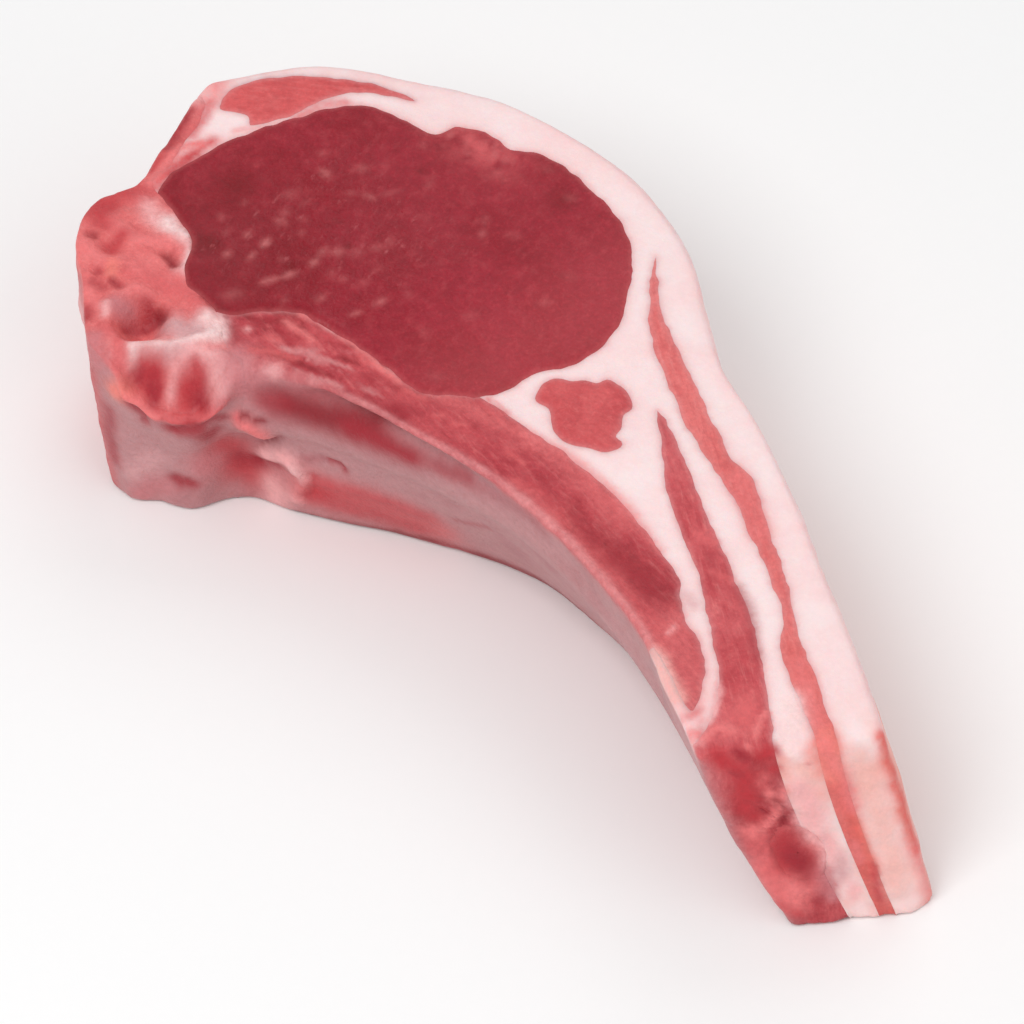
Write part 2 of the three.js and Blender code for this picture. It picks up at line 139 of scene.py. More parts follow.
# Tissues in the order in which they claim the cut face; fat has what is left.
TISSUES = {
    "vertebra": VERTEBRA,
    "eye_muscle": EYE,
    "cap_muscle": CAP,
    "kernel_muscle": KERNEL,
    "outer_strip_muscle": OUTER_STRIP,
    "inner_strip_muscle": INNER_STRIP,
    "rib_muscle": RIB_MUSCLE,
}
FAT = "fat"
NAMES = (*TISSUES, FAT)

# Centre line of the rib: x and y on the cut face, and true height.
RIB_LINE = [(-34, -20.6, 18.6), (-27, -16, 19.8), (-19, -13.4, 20.6), (-8, -10.9, 21.2),
            (4, -8.8, 21.5), (15, -8.8, 21.4), (26, -10.2, 20.4), (36, -12.4, 18.4),
            (45, -15, 15.4), (52, -16.6, 12.8), (59, -17.4, 10.6), (67, -17.6, 9)]

# How far the lower cut face lies from the upper one: x, y, shift in x, shift in y.
LEAN = [(-74, 8, 0.5, -0.5), (-66, -18, 2, 2), (-57, -28, 2.5, 3), (-48, -34, 3.6, 1.2),
        (-34, -28, -3, -0.6), (-27, -18.5, -1.5, -1.8), (-14, -15, 0, 7.4), (2, -12, 0, 10.6),
        (20, -12.5, 0.5, 11), (38, -16.5, 5, 10), (54, -23.5, 14.5, 5.5), (67, -4, 10, 0.5),
        (50, 5, 3, 3), (20, 19, 1, 3), (-10, 34, 0, 2), (-45, 34, 0, 1), (-35, 8, 0, 1),
        (-57, 0, 0.5, 0.5), (15, 4, 0.5, 6), (45, -7, 6, 5)]

# Side walls, in the order of SIDES: how far each stands out at these fractions of the height, and
# the radius of its upper and lower rims.
WALL_HEIGHTS = (0, 0.3, 0.62, 0.88, 1)
WALL_PROFILES = ((0.2, 0.8, 1.1, 0.3, 0), (0.1, 0.3, 0.2, 0, 0), (0, 0, 0, 0, 0), (0, 0, 0.1, 0, 0))
UPPER_RIMS = (1.1, 1.5, 0.7, 0.6)
LOWER_RIMS = (2.4, 1.1, 1.0, 0.9)


# ---------------------------------------- small tools
def hashed(cell, seed):
    """A repeatable value from 0 to 1 for each row of whole numbers."""
    mixed = cell[..., 0] * 374761393 + cell[..., 1] * 668265263
    mixed = mixed + cell[..., 2] * 1442695041 + seed * 974634777
    mixed = (mixed ^ (mixed >> 13)) * 1274126177
    mixed = mixed ^ (mixed >> 16)
    return (mixed & 0xFFFFFF) / float(0xFFFFFF)


def noise(points, size, seed=0):
    """Smooth noise from -1 to 1 at each point, with bumps about size apart."""
    size = np.asarray(size, float)
    scaled = points / size + seed * 17.31
    low = np.floor(scaled).astype(np.int64)
    part = scaled - low
    part = part * part * (3 - 2 * part)
    total = np.zeros(len(points))
    for corner in np.ndindex(2, 2, 2):
        offset = np.array(corner)
        weight = np.prod(np.where(offset, part, 1 - part), axis=1)
        total += weight * hashed(low + offset, seed)
    return 2 * total - 1


def rough(points, size, seed=0, octaves=3):
    """Noise with finer noise added on it."""
    total = np.zeros(len(points))
    for octave in range(octaves):
        total += noise(points, np.asarray(size) / 2**octave, seed + octave) / 2**octave
    return total / 1.5


def smoothstep(value, low=0.0, high=1.0):
    share = np.clip((value - low) / (high - low), 0, 1)
    return share * share * (3 - 2 * share)


def bump(distance, width):
    return np.exp(-((distance / width) ** 2))


def spline(points, closed=False, step=STEP):
    """Evenly spaced points on the centripetal curve through the given ones."""
    stops = np.array(points, float)
    if closed:
        stops = np.vstack([stops[-1], stops, stops[:2]])
    else:
        stops = np.vstack([2 * stops[0] - stops[1], stops, 2 * stops[-1] - stops[-2]])
    turn = np.linspace(0, 1, 24, endpoint=False)[:, None]
    runs = []
    for a, b, c, d in zip(stops, stops[1:], stops[2:], stops[3:]):
        gaps = ((a, b), (b, c), (c, d))
        before, here, after = (max(math.sqrt(np.linalg.norm(q - p)), 1e-6) for p, q in gaps)
        leave = here * ((b - a) / before - (c - a) / (before + here) + (c - b) / here)
        arrive = here * ((c - b) / here - (d - b) / (here + after) + (d - c) / after)
        runs.append(
            b
            + leave * turn
            + (3 * (c - b) - 2 * leave - arrive) * turn**2
            + (2 * (b - c) + leave + arrive) * turn**3
        )
    dense = np.vstack([*runs, stops[-2] if not closed else runs[0][0]])
    along = np.concatenate([[0], np.cumsum(np.linalg.norm(np.diff(dense, axis=0), axis=1))])
    count = max(3, round(along[-1] / step))
    wanted = np.linspace(0, along[-1], count + 1)[: count if closed else None]
    return np.stack([np.interp(wanted, along, dense[:, k]) for k in range(dense.shape[1])], axis=1)


def trace(line, step=0.3):
    """The points along a stroke, which may be a single point."""
    return spline(line, step=step) if len(line) > 1 else np.array(line, float)


def smooth_loop(values, spread):
    """A closed run of values, each blurred with its neighbours."""
    reach = int(3 * spread) + 1
    steps = np.arange(-reach, reach + 1)
    weights = np.exp(-0.5 * (steps / spread) ** 2)
    weights /= weights.sum()
    return sum(w * np.roll(values, -k, axis=0) for w, k in zip(weights, steps))


def nearest(points, targets, chunk=4000):
    """For each point, the distance to the nearest target and that target's number."""
    distance = np.empty(len(points))
    number = np.empty(len(points), int)
    for start in range(0, len(points), chunk):
        part = points[start : start + chunk]
        square = ((part[:, None, :] - targets[None, :, :]) ** 2).sum(axis=2)
        number[start : start + chunk] = square.argmin(axis=1)
        distance[start : start + chunk] = np.sqrt(square.min(axis=1))
    return distance, number


def inside(points, loop, chunk=8000):
    """Which of the points lie inside a closed loop."""
    ax, ay = loop.T
    bx, by = np.roll(loop, -1, axis=0).T
    slope = (bx - ax) / np.where(by == ay, 1e-12, by - ay)
    result = np.empty(len(points), bool)
    for start in range(0, len(points), chunk):
        x, y = points[start : start + chunk, :2].T[:, :, None]
        crosses = ((ay > y) != (by > y)) & (x < slope * (y - ay) + ax)
        result[start : start + chunk] = crosses.sum(axis=1) % 2 == 1
    return result


def with_z(plan, z):
    return np.column_stack([plan, np.broadcast_to(z, len(plan))])


def lines_in(rows):
    """Rows of words or numbers, a bar and x,y points, as (words, points); # starts a comment."""
    for row in rows.strip().splitlines():
        if not row.startswith("#"):
            head, points = row.split("|")
            yield head.split(), [tuple(map(float, point.split(","))) for point in points.split()]


# ---------------------------------------- the chop's form
def lean(plan):
    """How far the lower cut face lies from the upper one at each point."""
    anchors = np.array(LEAN, float)
    square = ((plan[:, None, :] - anchors[None, :, :2]) ** 2).sum(axis=2)
    weight = np.exp(-square / (2 * LEAN_REACH**2))
    return weight @ anchors[:, 2:] / weight.sum(axis=1)[:, None]


def place(plan, z):
    """Points of the leaning chop, from their place on the cut face and their height."""
    share = np.clip(1 - z / THICKNESS, 0, None) ** LEAN_CURVE
    return with_z(plan + share[:, None] * lean(plan), z)


def past_ridge(plan):
    """0 on the backbone body's ridge, 1 on its lower rim."""
    x, y = (plan - RIDGE_AT).T
    return (RIDGE_FALLS[0] * x + RIDGE_FALLS[1] * y) / RIDGE_RUN


def slope_share(plan):
    """The slope past the ridge, which is only at the backbone's inner corner."""
    x, y = plan.T
    beside = smoothstep(y, -20.5, -23.5) * smoothstep(x, -26, -30)
    return smoothstep(past_ridge(plan)) * beside


def face_height(plan):
    """The upper cut face without its fine relief."""
    x, y = plan.T
    swell = EYE_RISE * (1 - smoothstep(np.hypot(*((plan - EYE_AT) / EYE_REACH).T)))
    ripple = 0.25 * np.sin(x / 7) * np.cos(y / 6)
    canal = CANAL_DEPTH * (1 - smoothstep(np.hypot(*(plan - CANAL_AT).T) / CANAL_RADIUS - 0.25))
    tail_end = TAIL_DROP * smoothstep(x, *TAIL_SPAN)
    return THICKNESS + swell + ripple - RIDGE_DROP * slope_share(plan) - canal - tail_end


class Perimeter:
    """The chop's outline on the cut face, with how far its side stands out at each height."""

    def __init__(self):
        edges = [spline(edge)[:-1] for edge in (OUTER_EDGE, TAIL_EDGE, INNER_EDGE, BACK_EDGE)]
        self.points = smooth_loop(np.vstack(edges), 1.6)
        share = np.zeros((len(self.points), 4))
        start = 0
        for side, edge in enumerate(edges):
            share[start : start + len(edge), side] = 1
            start += len(edge)
        self.share = smooth_loop(share, 3)
        run = np.roll(self.points, -1, axis=0) - np.roll(self.points, 1, axis=0)
        normal = smooth_loop(np.column_stack([-run[:, 1], run[:, 0]]), 2)
        self.normal = normal / np.linalg.norm(normal, axis=1)[:, None]
        self.points += self.normal * 0.18 * rough(with_z(self.points, 3.0), 7.0, 5)[:, None]
        top = np.full(len(self.points), THICKNESS)
        self.cap = self.points + self.normal * self.stand_out(top, top, 1.0)[:, None]

    def stand_out(self, z, height, w):
        """How far the side stands out from the outline at one level, the share w of the height."""
        below = height - z
        profiles = np.array([np.interp(w, WALL_HEIGHTS, profile) for profile in WALL_PROFILES])
        out = self.share @ profiles
        x = self.points[:, 0]
        inner = self.share[:, 2]
        groove = GROOVE_DEPTH * smoothstep(x, *GROOVE_DEEPENS) * smoothstep(x, *GROOVE_FADES)
        out -= inner * groove * bump(below - GROOVE_BELOW, 1.5)
        under = UNDERCUT_DEPTH * smoothstep(x, *UNDERCUT_FADES) * smoothstep(x, *UNDERCUT_DEEPENS)
        out -= inner * under * smoothstep((0.96 - w) / 0.5)
        spots = with_z(self.points, z)
        skin = rough(spots, (5, 5, 3.5), 11) * 0.16 + rough(spots, (1.6, 1.6, 1.2), 12) * 0.05
        ragged = rough(spots, (3.2, 3.2, 2.0), 13, 4)
        torn = skin + ragged * (0.45 * self.share[:, 1] + 0.3 * self.share[:, 3] + 0.1 * inner)
        torn += self.share[:, 0] * 0.3 * rough(spots, (17, 17, 5), 14, 2)
        out += torn * smoothstep(below, 0, 0.8)
        upper = self.share @ np.array(UPPER_RIMS) + 1.8 * inner * bump(x + 31, 4)
        lower = self.share @ np.array(LOWER_RIMS)
        for depth, radius in ((below, upper), (z, lower)):
            short = np.clip(radius - depth, 0, None)
            out -= radius - np.sqrt(np.clip(radius**2 - short**2, 0, None))
        return out

    def over_rib(self, walls):
        """The side swells over the rib close behind it, and sinks in behind the rib's sawn end."""
        count, levels = walls.shape[:2]
        spots = walls.reshape(-1, 3)
        outward, upward, number = rib.measure(spots)
        inner = np.repeat(self.share[:, 2], levels)
        rise = 1 - (upward / (RIB_HALF_HEIGHT + RIB_COVER)) ** 2
        crest = (RIB_HALF_WIDTH + RIB_COVER) * np.sign(rise) * np.sqrt(np.abs(rise))
        along = ((spots - rib.line[number]) * rib.heading[number]).sum(axis=1)
        gain = np.log1p(np.exp(np.clip(2.2 * (crest - outward), -30, 30))) / 2.2
        gain *= inner * np.exp(-((along / 4) ** 2)) * (rise > -1)
        spots = spots - rib.side[number] * gain[:, None]
        tail = np.repeat(self.share[:, 1], levels)
        oval = np.hypot(outward / RIB_HALF_WIDTH, upward / RIB_HALF_HEIGHT)
        sink = tail * (1 - smoothstep(oval, 0.74, 0.94))
        normal = np.repeat(self.normal, levels, axis=0)
        spots[:, :2] -= normal * sink[:, None]
        return spots.reshape(count, levels, 3)

    def clear_of_rib(self, walls):
        """0 where the rib lies close behind the side, 1 well away from it."""
        outward, upward, _ = rib.measure(walls.reshape(-1, 3))
        beside = np.clip(outward - RIB_HALF_WIDTH, 0, None) / 1.5
        above = np.clip(abs(upward) - 3, 0, None) / 2
        return smoothstep(np.hypot(beside, above), 0.6, 1.4).reshape(walls.shape[:2])

    def locate(self, plan):
        """The fractional places along the outline nearest to points of its cap loop."""
        _, number = nearest(plan, self.cap)
        count = len(self.cap)
        best = np.full(len(plan), np.inf)
        place_on = number.astype(float)
        for step in (-1, 0):
            first = (number + step) % count
            a, b = self.cap[first], self.cap[(first + 1) % count]
            run = b - a
            share = np.clip(((plan - a) * run).sum(axis=1) / (run**2).sum(axis=1), 0, 1)
            gap = np.linalg.norm(a + share[:, None] * run - plan, axis=1)
            closer = gap < best
            best = np.where(closer, gap, best)
            place_on = np.where(closer, first + share, place_on)
        return place_on

    def read(self, table, place_on):
        """A table's values between its rows, round the loop."""
        first = np.floor(place_on).astype(int)
        share = (place_on - first).reshape(-1, *[1] * (table.ndim - 1))
        count = len(table)
        return table[first % count] * (1 - share) + table[(first + 1) % count] * share


rim = Perimeter()


# ---------------------------------------- the cut face's fine relief
# How far each tissue stands above the general cut face, and the depth of the crease at its border.
STAND = {"eye_muscle": 0.05, "cap_muscle": 0.0, "kernel_muscle": 0.1, "outer_strip_muscle": -0.05,
         "inner_strip_muscle": -0.05, "rib_muscle": -0.1, "vertebra": 0.0, "fat": -0.12}
CREASE = {"eye_muscle": 0.22, "cap_muscle": 0.14, "kernel_muscle": 0.18, "outer_strip_muscle": 0.14,
          "inner_strip_muscle": 0.16, "rib_muscle": 0.2, "vertebra": 0.3, "fat": 0.12}


def relief(plan, border, tissue):
    """Fine height of the cut face above its general form, by distance to the tissue's border."""
    flat = with_z(plan, 0)
    stand = np.select([tissue == name for name in NAMES], [STAND[name] for name in NAMES])
    crease = np.select([tissue == name for name in NAMES], [CREASE[name] for name in NAMES])
    height = stand * smoothstep(border, 0, 1.6) - crease * bump(border, 0.55)
    height += 0.1 * rough(flat, 6.5, 21) + 0.05 * rough(flat, 1.8, 22)
    bony = np.where(tissue == "vertebra", smoothstep(border, 0, 0.8), 0)
    fibrous = np.where(tissue == "rib_muscle", smoothstep(border, 0, 0.8), 0)
    torn = rough(flat, 2.6, 23, 4)
    height += bony * (0.5 * torn - 0.15) + fibrous * 0.14 * rough(flat, (3.6, 1.1, 1), 24, 3)
    for surface, _, _, width, rise, line in STROKES:
        if surface == "top" and rise:
            height += rise * bump(nearest(plan, trace(line))[0], width)
    return height - 0.22


# ---------------------------------------- the shared division of the cut face
# Pale flecks of fat in the eye muscle: strength, width, line.
FLECKS = [(*map(float, numbers), line) for numbers, line in lines_in("""
.45 .7 | -51.8,7.9 -49.4,7.7
.25 .9 | -50.9,3.2 -51,1.2
.3 .8 | -49.5,0 -48.5,-1.1
.4 .7 | -48.8,-2.1 -47.3,-1.9
.4 .55 | -44.5,8.9 -42.7,9.3
.2 .5 | -42.6,10.4 -41.8,12.8
.3 .9 | -48.3,11.4 -47.6,12.1
.25 .5 | -45.8,7.6 -45.3,8
.2 .6 | -48.6,3.4 -48.3,2
.3 .8 | -35.2,4.8 -36.4,3
.3 .9 | -36.6,1.8 -37.6,.6
.4 .9 | -38.4,.2 -39.2,-.9
.55 .6 | -40.4,-.9 -39.9,-2.8
.55 .7 | -39.7,-3.4 -39.3,-4.3
.6 .6 | -39.9,-6.4 -40.5,-8.3
.65 .6 | -40.8,-8.8 -41.8,-11
.3 .9 | -42,-13.6 -43.4,-16.4
.7 .6 | -46.9,-5.2 -46.4,-6.6
.4 .5 | -46.3,-8 -45.8,-9.6
.45 .6 | -49.5,-5.9 -49.2,-7.3
.4 .6 | -48.6,-10.4 -48.2,-11.4
.3 .5 | -54.6,-6.7 -53.4,-7.4
.2 .5 | -52,-7.4 -51.2,-8.8
.2 .5 | -54.2,-2.6 -53.8,-3.4
.25 .5 | -45,-1.1 -44.5,-1.6
.25 .6 | -46.8,.2 -46,.5
.25 .5 | -36.2,6.2 -35,5.4
.2 .6 | -32.9,1.6 -33.1,.8
.2 .6 | -32.6,-.6 -32.3,-2.2
.4 .6 | -28.6,-1.2 -28.7,-3
.4 .5 | -29,-4.9 -29.7,-6.4
.35 .6 | -34.6,-6.4 -34.3,-7.8
.3 .6 | -34.6,-2.8 -34.9,-3.4
.2 .5 | -37,-3 -36.3,-3.6
.2 .5 | -43.4,-6.2 -42.7,-6.6
.2 .6 | -37.6,-10.4 -37.2,-11.2
.3 .6 | -31,18.2 -30,17.2
.3 .6 | -29.4,16.4 -28.6,15.2
.2 .8 | -26.8,18.4 -25.4,18.9
.25 .9 | -15,13.2 -14.1,14
.25 .7 | -26.7,28.4 -25.8,28.9
.25 .8 | -36.2,25.4 -35.6,24
.2 .7 | -32.4,29.7 -31.2,30
.2 .9 | -16.6,18.6 -15.4,19.4
.2 .7 | -40.6,17.2 -39.6,15.8
.25 .5 | -46.4,21 -45.2,20.3
.2 .7 | -54,9.6 -53,10.4
.2 .9 | -19.6,5.4 -18.8,4.2
.2 .6 | -27.4,1.4 -26.6,1
.2 .6 | -21.6,-1.2 -20.6,-1.8
.2 .8 | -15.4,-5.4 -13.8,-4.6
.7 .6 | -39.2,27.2 -38.1,25.4
.5 .5 | -41.1,27.4 -40.8,25.2
.6 .5 | -45.5,25.2 -44.7,24
.45 .5 | -43.2,26.4 -41.9,24.4
.4 .5 | -37.4,27.8 -36.6,26.2
""")]
# Blood at the eye muscle's border, and darker patches in it: x, y and radius.
DARK_SPOTS = [(-7.5, 0.3, 0.7), (-8.5, -2.5, 0.6), (-38.6, 1.2, 0.6), (-41.2, -6.2, 0.7),
              (-42.6, 17.2, 0.8), (-57, -1.4, 2.2), (-51.6, -11.6, 1.6), (-27, 27, 2.4)]


def lattice(low, high, step):
    """Points in a pattern of even triangles."""
    xs = np.arange(low[0], high[0], step)
    ys = np.arange(low[1], high[1], step * 0.866)
    grid = np.stack(np.meshgrid(xs, ys), axis=2)
    grid[1::2, :, 0] += step / 2
    return grid.reshape(-1, 2)


def across(run):
    """The level direction at right angles to each run, of length 1."""
    return np.column_stack([-run[:, 1], run[:, 0]]) / np.linalg.norm(run, axis=1)[:, None]


def wandering(loop, seed):
    """An outline with the small irregularity of a real tissue border."""
    normal = across(np.roll(loop, -1, axis=0) - np.roll(loop, 1, axis=0))
    sway = 0.28 * rough(with_z(loop, 0), 3.4, seed) + 0.2 * noise(with_z(loop, 0), 1.3, seed + 3)
    return loop + normal * sway[:, None]


class Division:
    """One triangle mesh of the cut face, in which every tissue's border is a line of edges."""

    def __init__(self):
        self.loops = {
            name: wandering(spline(points, closed=True), 41 + k)
            for k, (name, points) in enumerate(TISSUES.items())
        }
        self.triangulate()
        middle = self.plan[self.triangles].mean(axis=1)
        self.tissue = np.full(len(middle), FAT, dtype="U24")
        for name in reversed(TISSUES):
            self.tissue[inside(middle, self.loops[name])] = name
        self.rim_place = rim.locate(self.plan)
        on_loop = rim.read(rim.cap, self.rim_place)
        self.rim_gap = np.linalg.norm(on_loop - self.plan, axis=1)
        self.on_rim = self.rim_gap < 1e-3
        self.find_borders()

    def triangulate(self):
        """Triangles between the rim, the borders, the flecks and an even pattern of points."""
        fixed, edges, flecks = [], [], []
        for loop in (rim.cap, *self.loops.values()):
            start = len(fixed)
            fixed.extend(loop)
            edges.extend((start + k, start + (k + 1) % len(loop)) for k in range(len(loop)))
        for _, width, line in FLECKS:
            middle = spline(line, step=0.3)
            aside = 1.6 * width * across(np.gradient(middle, axis=0))
            flecks.extend([middle, middle + aside, middle - aside])
        flecks = np.vstack(flecks)
        grid = lattice(rim.cap.min(axis=0), rim.cap.max(axis=0), STEP)
        grid = grid[inside(grid, rim.cap)]
        for taken in (np.array(fixed), flecks):
            grid = grid[nearest(grid, taken)[0] > 0.6 * STEP]
        everything = [Vector(p) for p in np.vstack([fixed, flecks, grid])]
        made = geometry.delaunay_2d_cdt(everything, edges, [], 0, 1e-5, False)
        self.plan = np.array([tuple(p) for p in made[0]])
        triangles = np.array(made[2])
        triangles = triangles[inside(self.plan[triangles].mean(axis=1), rim.cap)]
        corner = self.plan[triangles]
        a, b = corner[:, 1] - corner[:, 0], corner[:, 2] - corner[:, 0]
        turned = a[:, 0] * b[:, 1] - a[:, 1] * b[:, 0] < 0
        triangles[turned] = triangles[turned][:, ::-1]
        self.triangles = triangles

    def find_borders(self):
        """Each point's distance to the nearest border between two tissues."""
        t = self.triangles
        edges = np.vstack([t[:, [0, 1]], t[:, [1, 2]], t[:, [2, 0]]])
        owner = np.tile(np.searchsorted(sorted(NAMES), self.tissue), 3)
        key = edges.min(axis=1).astype(np.int64) * len(self.plan) + edges.max(axis=1)
        order = np.argsort(key, kind="stable")
        same = key[order][1:] == key[order][:-1]
        differ = same & (owner[order][1:] != owner[order][:-1])
        border = edges[order[1:][differ]]
        middles = self.plan[border].mean(axis=1)
        ends = self.plan[np.unique(border)]
        self.border = nearest(self.plan, np.vstack([middles, ends]))[0]


# ---------------------------------------- the whole body, cut face to cut face
class Body:
    """Places any point of the cut face at any level of the height, sides included."""

    def __init__(self, division):
        self.division = division
        tissue = self.point_tissue()
        height = face_height(division.plan) + relief(division.plan, division.border, tissue)
        self.height = np.minimum(height, HIGHEST)
        under = 0.12 * (1 + rough(with_z(division.plan, 9), 4, 51))
        under = 0.35 * bump(division.border, 0.6) + under
        self.floor = under * smoothstep(division.border + 3 * division.rim_gap, 0, 0.4)
        self.rim_height = self.at_rim(self.height)
        self.rim_floor = self.at_rim(self.floor)
        self.walls = self.build_walls()
        self.shift = self.walls - self.leaning(rim.cap, self.rim_height, self.rim_floor, LEVELS)

    def point_tissue(self):
        """A tissue for each point: that of one of its triangles."""
        tissue = np.full(len(self.division.plan), FAT, dtype="U24")
        for name in reversed(NAMES[:-1]):
            tissue[self.division.triangles[self.division.tissue == name]] = name
        return tissue

    def at_rim(self, values):
        """Values of the division's points, read at the perimeter's points."""
        on_rim = np.flatnonzero(self.division.on_rim)
        order = on_rim[np.argsort(self.division.rim_place[on_rim])]
        places = self.division.rim_place[order]
        count = len(rim.cap)
        wrapped = np.concatenate([places[-2:] - count, places, places[:2] + count])
        known = np.concatenate([values[order][-2:], values[order], values[order][:2]])
        return np.interp(np.arange(count), wrapped, known)

    def leaning(self, plan, top, floor, levels):
        """The plain leaning body at each of the levels, its sides upright on the cut face."""
        z = levels * top[:, None] + (1 - levels) * floor[:, None]
        flat = np.repeat(plan, len(levels), axis=0)
        return place(flat, z.ravel()).reshape(len(plan), len(levels), 3)

    def build_walls(self):
        """The sides at every level, over the rib and with the relief of their strokes."""
        z = LEVELS * self.rim_height[:, None] + (1 - LEVELS) * self.rim_floor[:, None]
        walls = np.empty((len(rim.points), len(LEVELS), 3))
        for level in range(len(LEVELS)):
            out = rim.stand_out(z[:, level], self.rim_height, LEVELS[level])
            walls[:, level] = place(rim.points + rim.normal * out[:, None], z[:, level])
        self.walls = rim.over_rib(walls)
        raised = np.zeros(self.walls.shape[:2])
        for surface, _, _, width, rise, line in STROKES:
            if surface != "top" and rise:
                reach = nearest(self.walls.reshape(-1, 3), on_side(self, surface, line))[0]
                raised += rise * bump(reach, width).reshape(raised.shape)
        raised *= smoothstep(self.rim_height[:, None] - self.walls[:, :, 2], 0, 0.8)
        raised = np.where(raised < 0, raised * rim.clear_of_rib(self.walls), raised)
        return self.walls + with_z(rim.normal, 0)[:, None, :] * raised[:, :, None]

    def at(self, points, levels):
        """The place of each point of the division at the level with that number."""
        division = self.division
        plan = division.plan[points]
        w = LEVELS[levels]
        z = w * self.height[points] + (1 - w) * self.floor[points]
        spot = place(plan, z)
        rim_place = division.rim_place[points]
        first = np.floor(rim_place).astype(int)
        share = (rim_place - first)[:, None]
        count = len(rim.cap)
        shift = self.shift[first % count, levels] * (1 - share)
        shift += self.shift[(first + 1) % count, levels] * share
        gap = np.where(division.on_rim[points], 0, division.rim_gap[points])
        return spot + shift * np.exp(-gap / WALL_FADE)[:, None]


def on_side(body, surface, line):
    """A stroke's points in space, from its places along a side and below the cut face."""
    line = trace(line, step=0.5)
    axis = 1 if surface in ("tail", "back") else 0
    near = np.flatnonzero(rim.share[:, SIDES.index(surface)] > 0.5)
    number = near[nearest(line[:, :1], rim.points[near][:, axis : axis + 1])[1]]
    below = body.rim_height[number][:, None] - body.walls[number, :, 2]
    level = np.abs(below - line[:, 1:]).argmin(axis=1)
    return body.walls[number, level]


def sample_levels():
    """The shares of the height at which the sides have points."""
    arc = 1 - np.cos(np.linspace(0, math.pi / 2, BAND_LEVELS))
    low = LOWER_BAND / THICKNESS * arc
    high = 1 - UPPER_BAND / THICKNESS * arc[::-1]
    return np.concatenate([low[:-1], np.linspace(low[-1], high[0], MIDDLE_LEVELS)[:-1], high])


LEVELS = sample_levels()
# The levels of the hidden walls between tissues, away from the rim.
FEW = [0, len(LEVELS) // 4, len(LEVELS) // 2, 3 * len(LEVELS) // 4, len(LEVELS) - 1]


def region_shell(division, name):
    """A tissue's closed shell: its vertices as (point, level) pairs, and its triangles."""
    faces = division.triangles[division.tissue == name]
    last = len(LEVELS) - 1
    number = {}

    def vertex(point, level):
        return number.setdefault((point, level), len(number))

    shell = []
    for a, b, c in faces.tolist():
        shell.append((vertex(a, last), vertex(b, last), vertex(c, last)))
        shell.append((vertex(c, 0), vertex(b, 0), vertex(a, 0)))
    directed = {(a, b) for face in faces.tolist() for a, b in zip(face, face[1:] + face[:1])}
    every = range(last + 1)
    for a, b in directed:
        if (b, a) in directed:
            continue
        near, far = (every if division.rim_gap[point] < WALL_FADE else FEW for point in (a, b))
        i = j = 0
        while i + 1 < len(near) or j + 1 < len(far):
            here, there = vertex(a, near[i]), vertex(b, far[j])
            if j + 1 == len(far) or (i + 1 < len(near) and near[i + 1] <= far[j + 1]):
                i += 1
                shell.append((here, there, vertex(a, near[i])))
            else:
                j += 1
                shell.append((here, there, vertex(b, far[j])))
    pairs = np.array(list(number))
    return pairs[:, 0], pairs[:, 1], np.array(shell)


# ---------------------------------------- the rib
class Rib:
    """The oval bone along its own curved line, with the frame that walls are measured in."""

    def __init__(self):
        stops = np.array(RIB_LINE, float)
        self.line = spline(place(stops[:, :2], stops[:, 2]), step=0.4)
        self.heading = np.gradient(self.line, axis=0)
        self.heading /= np.linalg.norm(self.heading, axis=1)[:, None]
        side = np.column_stack([-self.heading[:, 1], self.heading[:, 0], np.zeros(len(self.line))])
        self.side = side / np.linalg.norm(side, axis=1)[:, None]
        self.up = np.cross(self.heading, self.side)

    def measure(self, spots):
        """How far each spot is from the line: to the chop's inner side, and up."""
        number = nearest(spots[:, :2], self.line[:, :2])[1]
        apart = spots - self.line[number]
        outward = -(apart * self.side[number]).sum(axis=1)
        upward = (apart * self.up[number]).sum(axis=1)
        return outward, upward, number


rib = Rib()


def upright(spots):
    """Where spots of the leaning chop belong on the cut face."""
    share = np.clip(1 - spots[:, 2] / THICKNESS, 0, None)[:, None] ** LEAN_CURVE
    plan = spots[:, :2].copy()
    for _ in range(8):
        plan = spots[:, :2] - share * lean(plan)
    return plan


def before_tail(spots):
    """How far each spot stands out in front of the tail end's general surface."""
    tail = rim.share[:, 1] > 0.5
    plan = upright(spots)
    number = nearest(plan, rim.points[tail])[1]
    return ((plan - rim.points[tail][number]) * rim.normal[tail][number]).sum(axis=1)


RIB_RING = 44  # points round the rib
RIB_FIRST = 16  # the point of its line under the backbone piece, where the bar starts
# The sawn end, from its edge inward: share of the oval, and how far it stands out of the tail end.
RIB_END = ((1, -0.2), (0.97, -0.08), (0.92, 0), (0.84, 0), (0.72, -0.05), (0.6, -0.1),
           (0.45, -0.15), (0.3, -0.2), (0.15, -0.2), (0.02, -0.2))


